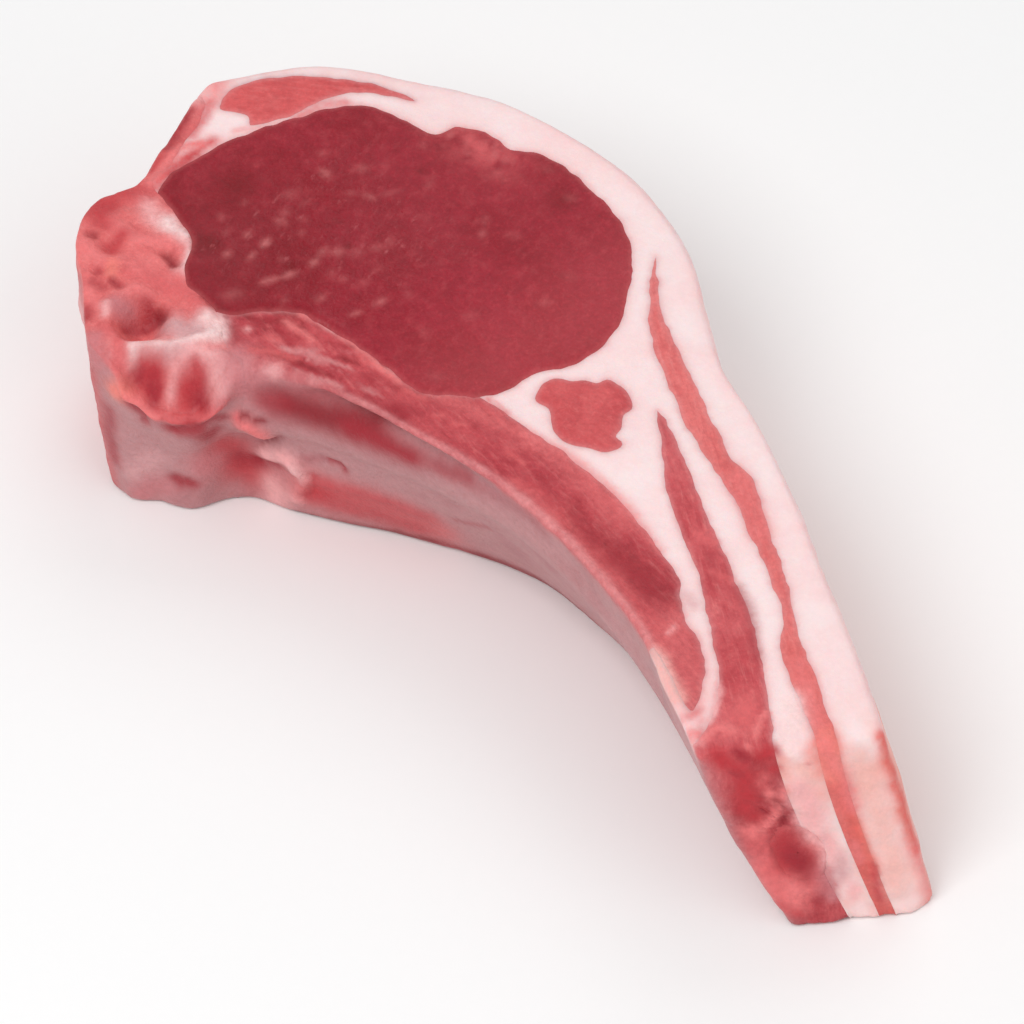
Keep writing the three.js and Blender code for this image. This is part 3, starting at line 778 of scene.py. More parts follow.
def rib_shell():
    """The rib: an oval bar, sawn off along the tail end, with its marrow a little sunken."""
    turns = np.linspace(0, 2 * math.pi, RIB_RING, endpoint=False)[:, None, None]
    offset = -np.cos(turns) * RIB_HALF_WIDTH * rib.side + np.sin(turns) * RIB_HALF_HEIGHT * rib.up
    row = np.arange(RIB_RING)
    ends = []
    for share, proud in RIB_END:
        lines = rib.line + share * offset
        flat = lines.reshape(-1, 3)
        gap = before_tail(flat) - proud - 0.3 * rough(flat, 2.2, 61)
        gap = gap.reshape(lines.shape[:2])
        gap[:, : len(rib.line) // 2] = -9  # the near half never reaches the tail end
        reached = np.argmax(gap > 0, axis=1)
        early = gap[row, reached - 1]
        part = (-early / (gap[row, reached] - early))[:, None]
        ends.append(lines[row, reached - 1] * (1 - part) + lines[row, reached] * part)
    limit = ends[0][:, 0].min() - 0.5
    bar = [rib.line[k] + offset[:, k] for k in range(RIB_FIRST, len(rib.line), 2)]
    bar = [ring for ring in bar if ring[:, 0].max() < limit]
    closed = bar[0].mean(axis=0) + 0.02 * (bar[0] - bar[0].mean(axis=0))
    rings = [closed, *bar, *ends]
    faces = []
    for start in range(0, (len(rings) - 1) * RIB_RING, RIB_RING):
        for k in range(RIB_RING):
            a, b = start + k, start + (k + 1) % RIB_RING
            faces += [(a, b, a + RIB_RING), (b, b + RIB_RING, a + RIB_RING)]
    share = np.repeat([*[1] * (1 + len(bar)), *[r for r, _ in RIB_END]], RIB_RING)
    return np.vstack(rings), np.array(faces), share


# ---------------------------------------- the painter's strokes
# Strokes on the chop's surface: surface, paint, strength, width and rise, then their points. On
# top, the cut face, a point is x and y. On the outer and inner sides it is x and the depth below
# the cut face, and on the tail end and the back it is y and that depth.
STROKES = [
    (surface, colour, *map(float, numbers), line)
    # backbone piece: bone, marrow, fat and blood on its cut face; the dark and blood strokes sunk
    # into the canal's upper side, and the dark ones sunk into its pits, are painted shade
    # inner side; the dark and blood strokes 4 to 5 mm below the cut face are painted shade in the
    # hollow between the rim and the rib
    # painted highlight: the thin pale line below runs along the rounded rim of the rib side
    # painted shade: the dark stroke below runs under the backbone's inner lip and down its corner
    # painted shade: the two dark strokes below are the shadow under the backbone's inner lip
    for (surface, colour, *numbers), line in lines_in("""
# backbone piece: bone, marrow, fat and blood on its cut face
top red .6 2 .2 | -66.3,-17.8 -64.3,-17.9
top pink .75 1.6 .1 | -61.8,-12.7 -59.8,-13.5 -57.9,-13.4
top white .85 1.4 .4 | -57.8,-12.7 -56,-13.1 -54.3,-12.7
top pink .95 1.2 .3 | -52.8,-13.5 -50.5,-14.8 -49.5,-16.6
top white .6 .62 .2 | -51.7,-14.5 -50.3,-16.1
top pink .6 .75 .2 | -51,-17.4 -50,-17.4
top blood .95 .81 -.8 | -53.5,-16.6 -51.8,-17
top salmon .85 1.1 .4 | -63.3,-17.9 -59.5,-18.3 -57.5,-17.4 -55.8,-16.1
top salmon .5 1.1 .1 | -55.3,-15.3 -52.9,-15.5
top red .8 1.1 -.2 | -59.8,-18.7 -59.5,-20.9
top blood .85 .62 -.6 | -63,-21.7 -62.3,-21.3
top salmon .85 1.2 .3 | -61.8,-23 -59.5,-23.5 -58.5,-23.5
top orange .8 .88 .2 | -57,-22.6 -55.5,-24.3
top dark .6 .75 -.4 | -57.5,-25.2 -57.5,-25.2
top dark .85 .75 -.5 | -54.8,-24.8 -53.3,-24.8
top rose .8 1.9 0 | -52.5,-20.9 -49.5,-20
top salmon .8 .88 .4 | -52.5,-25.2 -51.5,-23.5 -49.5,-22.6
top salmon .7 .88 .2 | -55.3,-28.2 -53.3,-29.1
top rose .9 1.4 .2 | -48,-19.2 -45.3,-18.7 -42.7,-19.1
top mauve .95 1.6 .6 | -51.3,-27.4 -50.3,-26.5
top pink .8 .62 .3 | -52.3,-28.2 -51,-29.5
top dark .75 1.2 -.3 | -49.3,-23.9 -48.5,-24.3
top blood 1 .81 -.8 | -47.5,-23.5 -46.5,-23.5
top dark .75 .88 -.3 | -49,-27.8 -48.3,-25.6 -47.5,-24.3
top bone 1 2.1 .2 | -44,-24.3 -42,-23.5 -41.3,-22.2
top white .8 1.5 .5 | -41.5,-20 -40,-20 -38.8,-20.5
top white .95 1.1 .7 | -44.5,-30.4 -43,-28.7 -41.1,-26.9 -40,-24.3 -39,-21.7
top bone .8 1 0 | -41,-27.8 -39.3,-25.6
top pink 1 1.4 .3 | -38.5,-25.2 -36,-23.5
top red .95 1.9 -.4 | -42,-30.4 -40.8,-30
top dark .9 1 -.5 | -41.3,-30 -40.5,-30.4
top red .7 .88 -.3 | -42.8,-30 -41.8,-29.1
top dark .8 .69 -.4 | -43.6,-32.1 -42.8,-30.8
top pink .8 .88 .3 | -38.8,-26.5 -39,-27.8 -38.8,-28.8
top red .95 1.8 -.4 | -37.3,-27.4 -35.8,-26.5
top dark .9 1.1 -.5 | -36,-26.9 -36,-26.1
top red .8 .75 -.3 | -37.8,-25.6 -36.8,-25.6
top pink .8 1.1 .3 | -35,-24.3 -34.3,-24.8
inner pink .8 1.5 .3 | -32.8,.7
inner orange 1 1.8 .6 | -45,3.5 -43.5,1.5
inner salmon .95 .99 .6 | -43,1.1 -41.1,.4 -39.2,.6
inner rose .95 .82 .5 | -37,.4 -34.2,.2 -32.9,3.1 -32.8,2.8
inner dark .9 .99 -.4 | -43,2.8 -41.6,2.6 -41.1,4.2
inner dark .8 .82 -.4 | -37,2.5 -34.2,1.6 -32.6,7.4
# neck of the rib
top pink .9 1.1 .2 | -34.5,-22.6 -32.3,-21.3
inner pink .9 1.5 .2 | -29.3,.6
inner mauve .95 2.8 0 | -32,0 -32,2.6
inner mauve .8 1.8 0 | -30.5,2.4
inner clay .8 1.8 0 | -29.3,3.5 -28.9,5.7
# side of the backbone piece
inner film .95 3 .2 | -43.5,10 -42.5,12
inner bone .85 2 .2 | -41.6,13.2 -44,17.9
inner film .85 2.3 0 | -37.4,7.2 -33.3,8.6
inner mauve .8 2.1 0 | -43.5,20.7 -40.2,16.8
inner dark .9 1.3 -.4 | -37.4,14.5 -34.9,14.8
inner dark .7 1.3 0 | -46.9,10 -47.4,15.9 -47.4,20.1
inner red .9 3.3 -.4 | -32.6,15.5 -31.4,21 -30.5,22.3
inner dark .8 1.5 -.3 | -31.7,19.3 -30.5,20.1
inner mauve .8 2.3 0 | -33.5,12.4 -33.1,15.9
inner pink .8 2.1 .3 | -28.9,23.6 -28.5,25.8
top mauve .8 1.8 0 | -49.2,-33
inner mauve .8 2.3 0 | -47.9,1.8
back dark .7 .99 0 | -30.9,0 -31.5,.1
top rose .7 .75 .2 | -49.3,-30.8 -47.5,-30.4 -45,-31.3
# head of the rib
inner salmon 1 1.5 1 | -31.4,9 -29.7,11.6
inner rose .85 .99 .5 | -32,7.5
inner blood .8 .58 -.3 | -31.4,7.5 -29.7,8.4
inner blood .8 .58 -.3 | -30.5,16.4 -28.5,12.8 -27.7,11.1
inner pink .95 1.5 .9 | -29.7,17 -27.2,16.5
inner dark .8 .82 -.3 | -30.5,19.6 -28.5,19.3
inner white .95 1.2 1 | -26.3,18.1 -25.4,19.9
inner pink .9 1.2 .6 | -25.9,21.7 -26.3,24
inner dark .8 .66 -.4 | -24.5,18.7 -24.5,21.3 -25.4,23.6
inner red .85 1.8 0 | -24,21.8
# inner side
inner clay .8 1.6 0 | -5.4,4 -0,3.9 6.4,2.3 11.4,1.8
inner mauve .75 1.2 .1 | -26.8,1.9 -23.5,2.9 -19.1,3.4 -16.2,3.4
inner dark .55 3.8 0 | -27.6,5.2 -22,5 -15.6,3.8
inner blood .85 2.2 -.5 | -27,4.8 -24,5 -20.4,4.6 -16.2,3.6
inner dark .6 1.5 -.1 | -30.1,5.1 -27.7,5.1
inner dark .95 1.8 -.4 | -18.7,5 -15.7,5 -12.8,5 -9.8,5
inner dark .5 1.3 0 | -7.9,4.5 -5,4.5 -1.5,3.9
inner film 1 1.8 .3 | -26.8,11.1 -22.5,10.8 -18.7,10.9 -14.3,10.4
inner film .9 2 .2 | -11.8,10.9 -6.9,10.4 -1.5,8.2 3.9,7.6 10.4,6.1
inner dark .85 .58 -.4 | -22.5,14.5 -21.1,14.6 -20.6,15.7
inner clay .8 .82 -.1 | -25.4,15.6 -23.5,14.5
inner mauve .85 .82 .2 | -23.5,19.8 -19.1,19.4 -15.2,19.5 -11.8,20
inner rose .65 3.4 0 | -25.4,20.6 -21,21 -16,21.6 -10,22.6
inner red .65 2.4 -.1 | -24.5,22.9 -21.1,23.6 -17.7,23.9 -13,24.4
inner dark .8 1.2 0 | -11,26.7 0,26.8 12,26.8 24,26.8 34,26.8
inner blood .6 1.3 0 | -6,26.6 0,26.8 6,26.6 12,26.2
inner red .55 2.2 0 | -23,20.5 -16.2,20 -10.8,20
inner dark .85 1.6 0 | -33.1,8.1 -34.6,2.5 -37.4,2.5
inner blood .85 .74 0 | -26.3,27.9 -22.1,27.5 -17.2,27.4 -13.8,27 -11.3,26.7
inner dark .55 .58 0 | -6.4,17.8 -1,15.1
# rib muscle
top dark .85 1 -.2 | -13.8,-12.7 -12.3,-12.7
top rose .6 .62 .1 | -15.5,-9.6 -13,-8.8
top rose .6 .5 .1 | -23.8,-10.1 -21.8,-10.1 -20.3,-9.2
top rose .6 .5 .1 | -9.5,-9.6 -9,-8.8
top rose .6 .5 .1 | -7,-8.8 -6,-7.9
top rose .6 .44 .1 | 1,-7 4,-7
top salmon .8 .56 .2 | -34.5,-13.1 -32.3,-12.7 -29.8,-12.7
top pink .6 .5 .1 | -37,-17.4
top rose .7 .56 .1 | -34.5,-16.6 -33,-15.7
top rose .7 .56 .1 | -34,-19.2 -31.5,-17.4 -28.8,-16.1
top dark .7 .62 -.2 | -37,-15.7 -36.5,-14
top dark .6 .5 -.2 | -34.8,-14.4 -31.5,-14.8
top dark .6 .75 -.2 | -38.5,-18.3 -36.8,-19.6
top salmon .75 .62 .15 | -34.3,-10.7 -32.5,-9.6 -29.5,-8.8 -26.1,-9.1 -21.8,-9.2 -17.3,-9.2
top dark .8 1.4 -.1 | 23.5,-9.6 26.7,-9.2 28.2,-8.3 30,-9.6
top dark .55 .75 0 | 17.5,-9.6 20.2,-9.2
top pink .75 .38 .1 | 37.2,-12.7 37,-11.4
top rose .7 .88 0 | 49,-18.3 49,-20
# strips and the fat between them
top dark .5 1 0 | 37.4,-.8 41.2,-2.5 47.5,-7
top dark .5 .75 0 | 30.7,.3 34,-1.8
top rose .6 .75 0 | 27.5,1.6 29.7,2.1
top rose .6 .62 0 | 33.2,-1.4 35.7,-.5
top bone .5 1 0 | 34.2,-6.6 36,-7
top fatty .9 1.1 0 | 38.6,-15.9 41.8,-17.3 46,-18.7
top pink .8 1 0 | 52,-20.9
inner pink .8 1.3 0 | 52.1,1
top pink .8 .44 0 | 47.4,-13.5 49.9,-16.1 51.4,-18.7
top mauve .6 .56 0 | 50.5,-19.2 51.5,-20
top rose .8 1.5 0 | 51.7,-12.7 53.2,-14.4
# end face
top salmon .8 .88 .2 | 51.5,-21.4 52.7,-20.5 53,-18.3 54.5,-17.4
top pink .6 .88 0 | 50.5,-20 50.7,-18.7
top pink .5 .5 0 | 48.5,-14 50.5,-17.1
top rose .8 1.4 0 | 53,-14 54.2,-15.3
tail salmon .9 .5 .3 | -18.1,.1
top salmon .9 .56 .3 | 56.5,-15.7 55.2,-13.5 55,-12.2
tail red .95 1.4 -.2 | -21.4,1 -20.2,2.3
tail red 1 1.8 -.2 | -19.3,3.9 -19.8,6.5
tail red .9 1.2 -.1 | -16.9,1.3 -15.6,.6
tail red .8 1.1 0 | -16,3.3
tail dark .9 .77 -.3 | -19.3,.4 -18.5,1.3
tail dark .6 .55 0 | -20.6,3.4 -19.8,3.9
tail rose .8 .77 .1 | -17.3,4.4 -17.7,4.9
tail red .9 1.3 0 | -20.6,8.6 -20.2,10.2
tail salmon .9 .66 .3 | -17.3,6.5 -17.3,7.5
tail rose .85 .39 .2 | -17.7,9.1 -17.7,10.1 -19.8,12.3
tail dark .9 .44 -.4 | -18.9,9.6 -18.5,10.1
tail blood .9 .44 -.5 | -16.9,8.5 -16.4,9.1
tail blood .9 .44 -.4 | -16.9,10.6 -17.3,11.7
tail salmon .8 .88 .1 | -21.8,12.3 -20.6,12.3
tail rose .9 1.2 0 | -21,13.3 -20.6,14.4
tail salmon 1 2.2 0 | -21.4,18.1 -21.8,20.7 -21,22.3
tail salmon .8 1.5 0 | -19.8,21.7 -17.7,20.5
tail blood .9 .99 -.4 | -18.1,14.3 -18.1,15.9
tail dark .6 .88 -.1 | -19.8,15.4 -18.9,15.9
tail blood .95 1.2 -.5 | -18.5,17.4 -17.7,18.5
tail dark .7 .55 -.2 | -16.9,18.9 -15.2,17.2
tail dark .7 .77 0 | -18.5,23.7 -16.4,22.1
tail red .7 .88 0 | -22.6,23.9 -21.4,24.9
tail mauve .9 .99 0 | -15.2,19.3 -15.2,20.8 -16,23
tail pink 1 1.9 .2 | -13.9,6.4 -13.5,9 -13.5,11
tail pink .9 1.3 .1 | -13.5,13.6 -13.1,15.1
tail bone .8 1.2 .1 | -12.7,17.7 -13.1,19.8
tail pink .8 .99 0 | -13.1,22.8 -12.7,21.8
tail salmon .6 .77 0 | -15.6,15.6 -14.7,16.2
tail fatty .8 1.2 0 | -13.1,3.3 -11.8,4.8
tail mauve .6 .39 0 | -12.3,2.8
top white 1 1.8 .2 | 56,-8.8 58.7,-10.9
tail white .9 .99 .1 | -14.3,0 -13.5,.6
top orange .95 1.4 .1 | 62.2,-9
tail orange .95 1.2 .1 | -9.4,1.7 -9.4,4.3
tail ember .7 1.1 0 | -9.4,5.8 -9.4,8.4
tail ember .95 .88 0 | -9.4,10.4 -8.9,13.4 -8.9,16.5 -8.9,19
tail red .9 .55 0 | -8.9,19 -9.4,21.1 -9.8,23.8
tail salmon .7 .66 0 | -10.2,15.6 -10.2,18.2
tail fatty .75 2 0 | -6.7,2.8 -6.3,6.8 -6.3,10.4 -6.3,14.5 -6.3,18.1 -6.7,22.1
# edges
top pink .8 1.9 0 | -73.4,9.4 -71.8,6.4 -72,4.8
top rose .8 1 0 | -70.3,5.2 -69,2.6 -67.8,0
top dark .8 .8 -.2 | -71.2,2.4 -69.6,-.2 -68.7,-2.6 -68,-4.2
top red .7 .8 -.1 | -67.4,-5.6 -66.8,-8.6
top rose .95 1.1 0 | -65.2,1 -65,-2 -64.8,-6 -64,-9.6
top red .6 .8 0 | -64.6,-2 -64.4,-7
top salmon .9 .75 .25 | -65.8,-.4 -66.8,-2.6 -66.4,-4.8 -65.5,-7.2 -65,-9.8
top pink .9 .6 0 | -64.6,4.4 -62.8,7.2 -61.3,10.4 -60.6,13
top rose .6 .9 0 | -60.8,12 -60.4,15.6 -58.6,18.4
top rose .45 1.6 0 | 6,-9.8 20,-10.9 30,-12.6 38,-14.4
top pink .4 .7 .15 | -29,-19 -19,-15.7 -8,-13.3 4,-11.2 15,-11.1 26,-12.7 36,-15.1 45,-18.9 51,-21.6
top red .6 2 0 | -65.4,-13.4 -65.4,-16.6 -63.6,-19.4
top salmon .6 1.4 .2 | -64.6,-22 -61,-25.2 -57,-28
top red .35 1 -.2 | -60.6,-21.4 -58,-21.2
top salmon .5 1.4 .1 | -56.6,-20.2 -53.4,-19
top salmon .6 1 .25 | -57.4,-21.8 -53.6,-21.6
top dark .5 .7 -.3 | -56.6,-26.8 -54.6,-26.4
top salmon .35 1.6 0 | -13,-7 -4,-4.3 8,-3.2 20,-3.6
top salmon .4 .9 0 | 0,-3.1 6,-1.8 14,-1.7 20,-2.4 26,-3.9
top rose .6 .5 0 | -7.6,-2.6 -4,-2.4
tail ember .85 1.1 0 | -3.2,.6 -3.2,6 -3.2,12 -3.2,18
tail salmon .6 1.2 0 | -3.2,18 -3.2,26
tail red .85 1.7 0 | -18.5,14.3 -19.3,16.4 -20.2,18
tail pink .8 1.1 0 | -14.7,10.5 -14.7,14.2 -13.5,15.7 -14.3,17.8
tail dark .85 1.5 0 | -18.5,16.9 -18.1,18.5 -17.7,20
tail salmon .85 .66 .2 | -15.6,6.4 -17.3,9.6 -19.3,11.7 -21,12.8
tail blood .6 .55 -.2 | -17.3,7.5 -16.4,8
tail blood .6 .55 -.2 | -16,10.1 -17.3,11.7
tail rose .5 1.3 0 | -21.8,14.4 -21.8,18.1 -21.8,21.8 -22.6,24.4
tail salmon .6 1.1 0 | -20.6,21.7 -21,23.9
tail mauve .5 1.2 0 | -15.2,19.7 -16.4,21.5
tail salmon .75 1.3 0 | -10.2,.4 -9.8,3.3 -8.9,5.8 -8.9,9.9
tail orange .6 1.3 0 | -11.4,.8 -11,3.8 -10.2,5.4
top salmon .6 1.4 0 | 52,-4.2 56,-6.2 60,-8.4
top salmon .4 1.8 0 | 24,11.5 32,8
top salmon .35 2.6 0 | 36,-11 42,-13.5 47,-17
top salmon .55 1.8 0 | -72.6,8.6 -70.8,7.4
# outer fat and the back of the backbone piece
outer rose .7 .45 -.15 | 38,13.6 36.8,15.4
outer rose .5 .4 0 | 5,18 3.4,18.8
outer salmon .6 1.3 0 | 50,6 47.6,7.4
outer rose .5 .5 -.1 | -24,9 -25.2,10
outer salmon .5 1.6 0 | -46,17 -42,19
back pink .75 3 .4 | -27.5,6 -25,12 -26.4,19
back bone .7 2.2 .3 | -22,15 -19,21
back red .8 2.4 -.3 | -15,5 -13.6,11
back salmon .7 2 .3 | -10,15 -7.4,22
back blood .7 1.1 -.3 | -18.4,8.6 -17,13.4
back dark .7 1.6 -.2 | -4.4,5 -2,11 -3.6,17
back film .7 2.4 0 | 1,9 1.8,17
back pink .85 1.9 .2 | 5.2,2 6,7 4.2,12 5.8,17 4.4,22 5.6,27
""")
]
# The strokes' colours. Dark and blood are also laid as painted shade in hollows and under the
# backbone's lip, and pink as a painted highlight along the rib side's rim.
PAINTS = {"blood": (140, 42, 50), "dark": (165, 58, 66), "red": (192, 66, 72),
          "rose": (222, 108, 110), "salmon": (238, 130, 130), "orange": (243, 136, 126),
          "pink": (246, 182, 182), "bone": (216, 162, 164), "film": (194, 142, 144),
          "mauve": (205, 128, 132), "clay": (178, 114, 118), "white": (252, 218, 217),
          "fatty": (249, 192, 184), "ember": (228, 102, 94)}


# ---------------------------------------- materials
VEIL = 0.02  # what the moist surface's own pale reflection adds to every colour


def linear(colour):
    """A colour as it shows, written as 0-255 display values, in Blender's linear ones."""
    parts = [((value / 255 + 0.055) / 1.055) ** 2.4 - VEIL for value in colour]
    return (*(max(part, 0.004) for part in parts), 1)


class Graph:
    """Builds a material's nodes; every input is a number, a colour or another node's output."""

    def __init__(self, name):
        self.material = bpy.data.materials.new(name)
        self.material.use_nodes = True
        self.tree = self.material.node_tree
        self.shader = self.tree.nodes["Principled BSDF"]
        coordinates = self.node("TexCoord")
        scale = self.node("VectorMath", operation="SCALE")
        scale.inputs["Scale"].default_value = 1 / MM
        self.tree.links.new(coordinates.outputs["Object"], scale.inputs[0])
        self.place = scale.outputs[0]

    def node(self, kind, **settings):
        made = self.tree.nodes.new(f"ShaderNode{kind}")
        for key, value in settings.items():
            setattr(made, key, value)
        return made

    def put(self, socket, value):
        if isinstance(value, bpy.types.NodeSocket):
            self.tree.links.new(value, socket)
        else:
            socket.default_value = value

    def math(self, operation, a, b=0.0, c=0.0, clamp=False):
        node = self.node("Math", operation=operation, use_clamp=clamp)
        for socket, value in zip(node.inputs, (a, b, c)):
            self.put(socket, value)
        return node.outputs[0]

    def attribute(self, name):
        return self.node("Attribute", attribute_name=name).outputs["Fac"]

    def stretched(self, sizes, turn):
        """The place in mm, turned about the vertical and measured in bumps of these sizes."""
        node = self.node("Mapping", vector_type="TEXTURE")
        self.put(node.inputs["Vector"], self.place)
        node.inputs["Rotation"].default_value = (0, 0, turn)
        node.inputs["Scale"].default_value = sizes
        return node.outputs[0]

    def noise(self, sizes, detail=2.0, roughness=0.5, turn=0.0, distortion=0.0):
        """Noise with bumps of these sizes in mm, or of one size all round."""
        if isinstance(sizes, (int, float)):
            sizes = (sizes,) * 3
        node = self.node("TexNoise")
        self.put(node.inputs["Vector"], self.stretched(sizes, turn))
        names = ("Scale", "Detail", "Roughness", "Distortion")
        for name, number in zip(names, (1.0, detail, roughness, distortion)):
            node.inputs[name].default_value = number
        return node.outputs["Fac"]

    def ramp(self, value, low, high, to_low=0.0, to_high=1.0):
        node = self.node("MapRange", interpolation_type="SMOOTHSTEP")
        names = ("From Min", "From Max", "To Min", "To Max")
        for name, number in zip(names, (low, high, to_low, to_high)):
            node.inputs[name].default_value = number
        self.put(node.inputs["Value"], value)
        return node.outputs["Result"]

    def mix(self, share, a, b):
        node = self.node("Mix", data_type="RGBA")
        colour_a, colour_b = (s for s in node.inputs if s.type == "RGBA")
        self.put(node.inputs["Factor"], share)
        self.put(colour_a, a)
        self.put(colour_b, b)
        return next(s for s in node.outputs if s.type == "RGBA")

    def scaled(self, colour, factor):
        node = self.node("VectorMath", operation="SCALE")
        self.put(node.inputs[0], colour)
        self.put(node.inputs["Scale"], factor)
        return node.outputs[0]

    def torn(self, share, noise):
        """A share with a ragged edge."""
        sway = self.math("MULTIPLY_ADD", noise, 0.5, -0.25)
        ragged = self.math("MULTIPLY", sway, self.ramp(share, 0.0, 0.35))
        return self.math("ADD", share, ragged, clamp=True)

    def paint(self):
        """The strokes' colour, and how much of the tissue they cover."""
        node = self.node("Attribute", attribute_name="paint")
        cover = node.outputs["Alpha"]
        undo = self.math("DIVIDE", 1.0, self.math("MAXIMUM", cover, 0.02))
        return self.scaled(node.outputs["Color"], undo), cover

    def bump(self, height, depth_mm):
        node = self.node("Bump")
        node.inputs["Strength"].default_value = 1.0
        node.inputs["Distance"].default_value = depth_mm * MM
        self.put(node.inputs["Height"], height)
        self.put(self.shader.inputs["Normal"], node.outputs["Normal"])


def tissue_colour(g, look, middle, fine):
    """Clouds, speckle and, where the tissue has it, grain; and the noise of the grain."""
    shades = {key: linear(look[key]) for key in ("base", "other", "dark", "light")}
    colour = g.mix(g.ramp(g.noise(9, 3.0), 0.35, 0.68), shades["base"], shades["other"])
    colour = g.mix(g.ramp(middle, 0.45, 0.75, 0, look["mottle"]), colour, shades["dark"])
    colour = g.mix(g.ramp(middle, 0.5, 0.25, 0, 0.6 * look["mottle"]), colour, shades["light"])
    colour = g.mix(g.ramp(fine, 0.5, 0.8, 0, 0.5 * look["mottle"]), colour, shades["light"])
    if not look["grain"]:
        return colour, middle
    sizes, turn, strength = look["grain"]
    strands = g.noise(sizes, 3.0, 0.65, turn, 0.2)
    colour = g.mix(g.ramp(strands, 0.5, 0.75, 0, strength), colour, shades["light"])
    return g.mix(g.ramp(strands, 0.48, 0.25, 0, strength), colour, shades["dark"]), strands


def tissue_material(name, look):
    """Moist raw tissue: its own colour, then the masks, then the strokes."""
    g = Graph(name)
    middle = g.noise(2.6, 4.0, 0.6)
    fine = g.noise(0.5, 3.0, 0.6)
    colour, strands = tissue_colour(g, look, middle, fine)
    for mask in MASKS:
        here = g.attribute(mask)
        if mask == "film" and look["flecks"]:
            flecks = g.ramp(g.noise((1.0, 2.4, 1.8), 3.0, 0.6, 0.35), 0.58, 0.8, 0.0, 0.4)
            here = g.math("MULTIPLY", here, flecks)
        colour = g.mix(g.torn(here, middle), colour, linear(look[mask]))
    paint, cover = g.paint()
    small = g.noise(0.9, 3.0, 0.6)
    speckle = g.math("ADD", small, fine)
    colour = g.scaled(colour, g.math("MULTIPLY_ADD", speckle, look["tone"], 1 - look["tone"]))
    streaks = g.math("MULTIPLY_ADD", g.noise((5, 2, 1.2), 3.0, 0.6), 0.16, 0.02)
    paint = g.scaled(paint, g.math("ADD", g.math("MULTIPLY_ADD", speckle, 0.22, 0.68), streaks))
    g.put(g.shader.inputs["Base Color"], g.mix(g.torn(cover, small), colour, paint))
    dull = g.math("MULTIPLY_ADD", fine, 0.25, look["roughness"] - 0.12)
    dull = g.math("MULTIPLY_ADD", g.attribute("film"), -0.1, dull, clamp=True)
    g.put(g.shader.inputs["Roughness"], dull)
    g.bump(g.math("MULTIPLY_ADD", strands, 0.7, g.math("MULTIPLY", fine, 0.6)), look["bump"])
    shader = g.shader.inputs
    shader["Coat Weight"].default_value = 0.03
    shader["Coat Roughness"].default_value = 0.3
    shader["Specular IOR Level"].default_value = 0.22
    shader["Subsurface Weight"].default_value = look["soft"]
    shader["Subsurface Radius"].default_value = (1.0, 0.35, 0.25)
    shader["Subsurface Scale"].default_value = 1.2 * MM
    return g.material


MASKS = ("deep", "pale", "warm", "film")
# The colours, then mottle and tone: how strong clouds and speckle are; grain: bump sizes, turn and
# strength; bump: relief in mm; soft: the share of light that goes into the tissue.
MUSCLE = {"other": (186, 72, 80), "dark": (140, 44, 52), "light": (214, 104, 106), "mottle": 0.35,
          "deep": (134, 40, 48), "pale": (240, 176, 176), "warm": (226, 112, 104),
          "film": (190, 130, 132), "roughness": 0.42, "bump": 0.16, "soft": 0.12, "grain": None,
          "flecks": False, "tone": 0.3}
LOOKS = {
    "eye_muscle": dict(MUSCLE, base=(164, 52, 64), other=(154, 47, 57), light=(188, 82, 88),
                       dark=(142, 45, 54), deep=(130, 40, 48), pale=(218, 128, 128),
                       warm=(208, 96, 100), film=(206, 112, 116), flecks=True, tone=0.34,
                       mottle=0.5, grain=((1.2, 2.2, 2.5), 0.4, 0.3)),
    "cap_muscle": dict(MUSCLE, base=(219, 99, 100), other=(206, 90, 92), light=(236, 134, 132),
                       dark=(190, 72, 76), grain=((3.0, 0.8, 2.0), 0.7, 0.35)),
    "kernel_muscle": dict(MUSCLE, base=(213, 97, 99), other=(200, 84, 88), light=(232, 126, 124),
                          dark=(186, 70, 74), grain=((1.2, 0.8, 2.0), 0.2, 0.35)),
    "outer_strip_muscle": dict(MUSCLE, base=(229, 120, 118), other=(220, 108, 107),
                               light=(240, 150, 148), dark=(196, 78, 82),
                               grain=((4.0, 0.7, 2.0), -0.5, 0.4)),
    "inner_strip_muscle": dict(MUSCLE, base=(210, 100, 104), other=(196, 80, 86),
                               light=(232, 136, 134), dark=(168, 58, 66),
                               grain=((4.5, 0.7, 2.0), -0.5, 0.45)),
    "rib_muscle": dict(MUSCLE, base=(198, 84, 90), other=(182, 70, 78), light=(228, 126, 126),
                       dark=(152, 50, 58), grain=((4.5, 1.0, 2.0), -0.15, 0.42), bump=0.26),
    "fat": dict(MUSCLE, base=(254, 230, 230), other=(254, 221, 221), light=(255, 240, 239),
                dark=(251, 212, 213), mottle=0.25, deep=(226, 140, 142), pale=(255, 238, 236),
                warm=(249, 154, 138), film=(248, 196, 190), roughness=0.44, bump=0.12, soft=0.25,
                tone=0.06),
    "vertebra": dict(MUSCLE, base=(234, 122, 121), other=(222, 106, 107), light=(246, 166, 162),
                     dark=(200, 78, 82), mottle=0.5, deep=(176, 58, 66), pale=(244, 192, 192),
                     warm=(240, 138, 124), film=(208, 156, 158), roughness=0.4, bump=0.3),
    "rib_bone": dict(MUSCLE, base=(198, 84, 88), other=(208, 100, 102), light=(232, 156, 152),
                     dark=(184, 74, 80), deep=(166, 56, 64), pale=(236, 178, 174),
                     roughness=0.38, bump=0.2),
}
UNPAINTED = ("eye_muscle", "cap_muscle", "kernel_muscle")


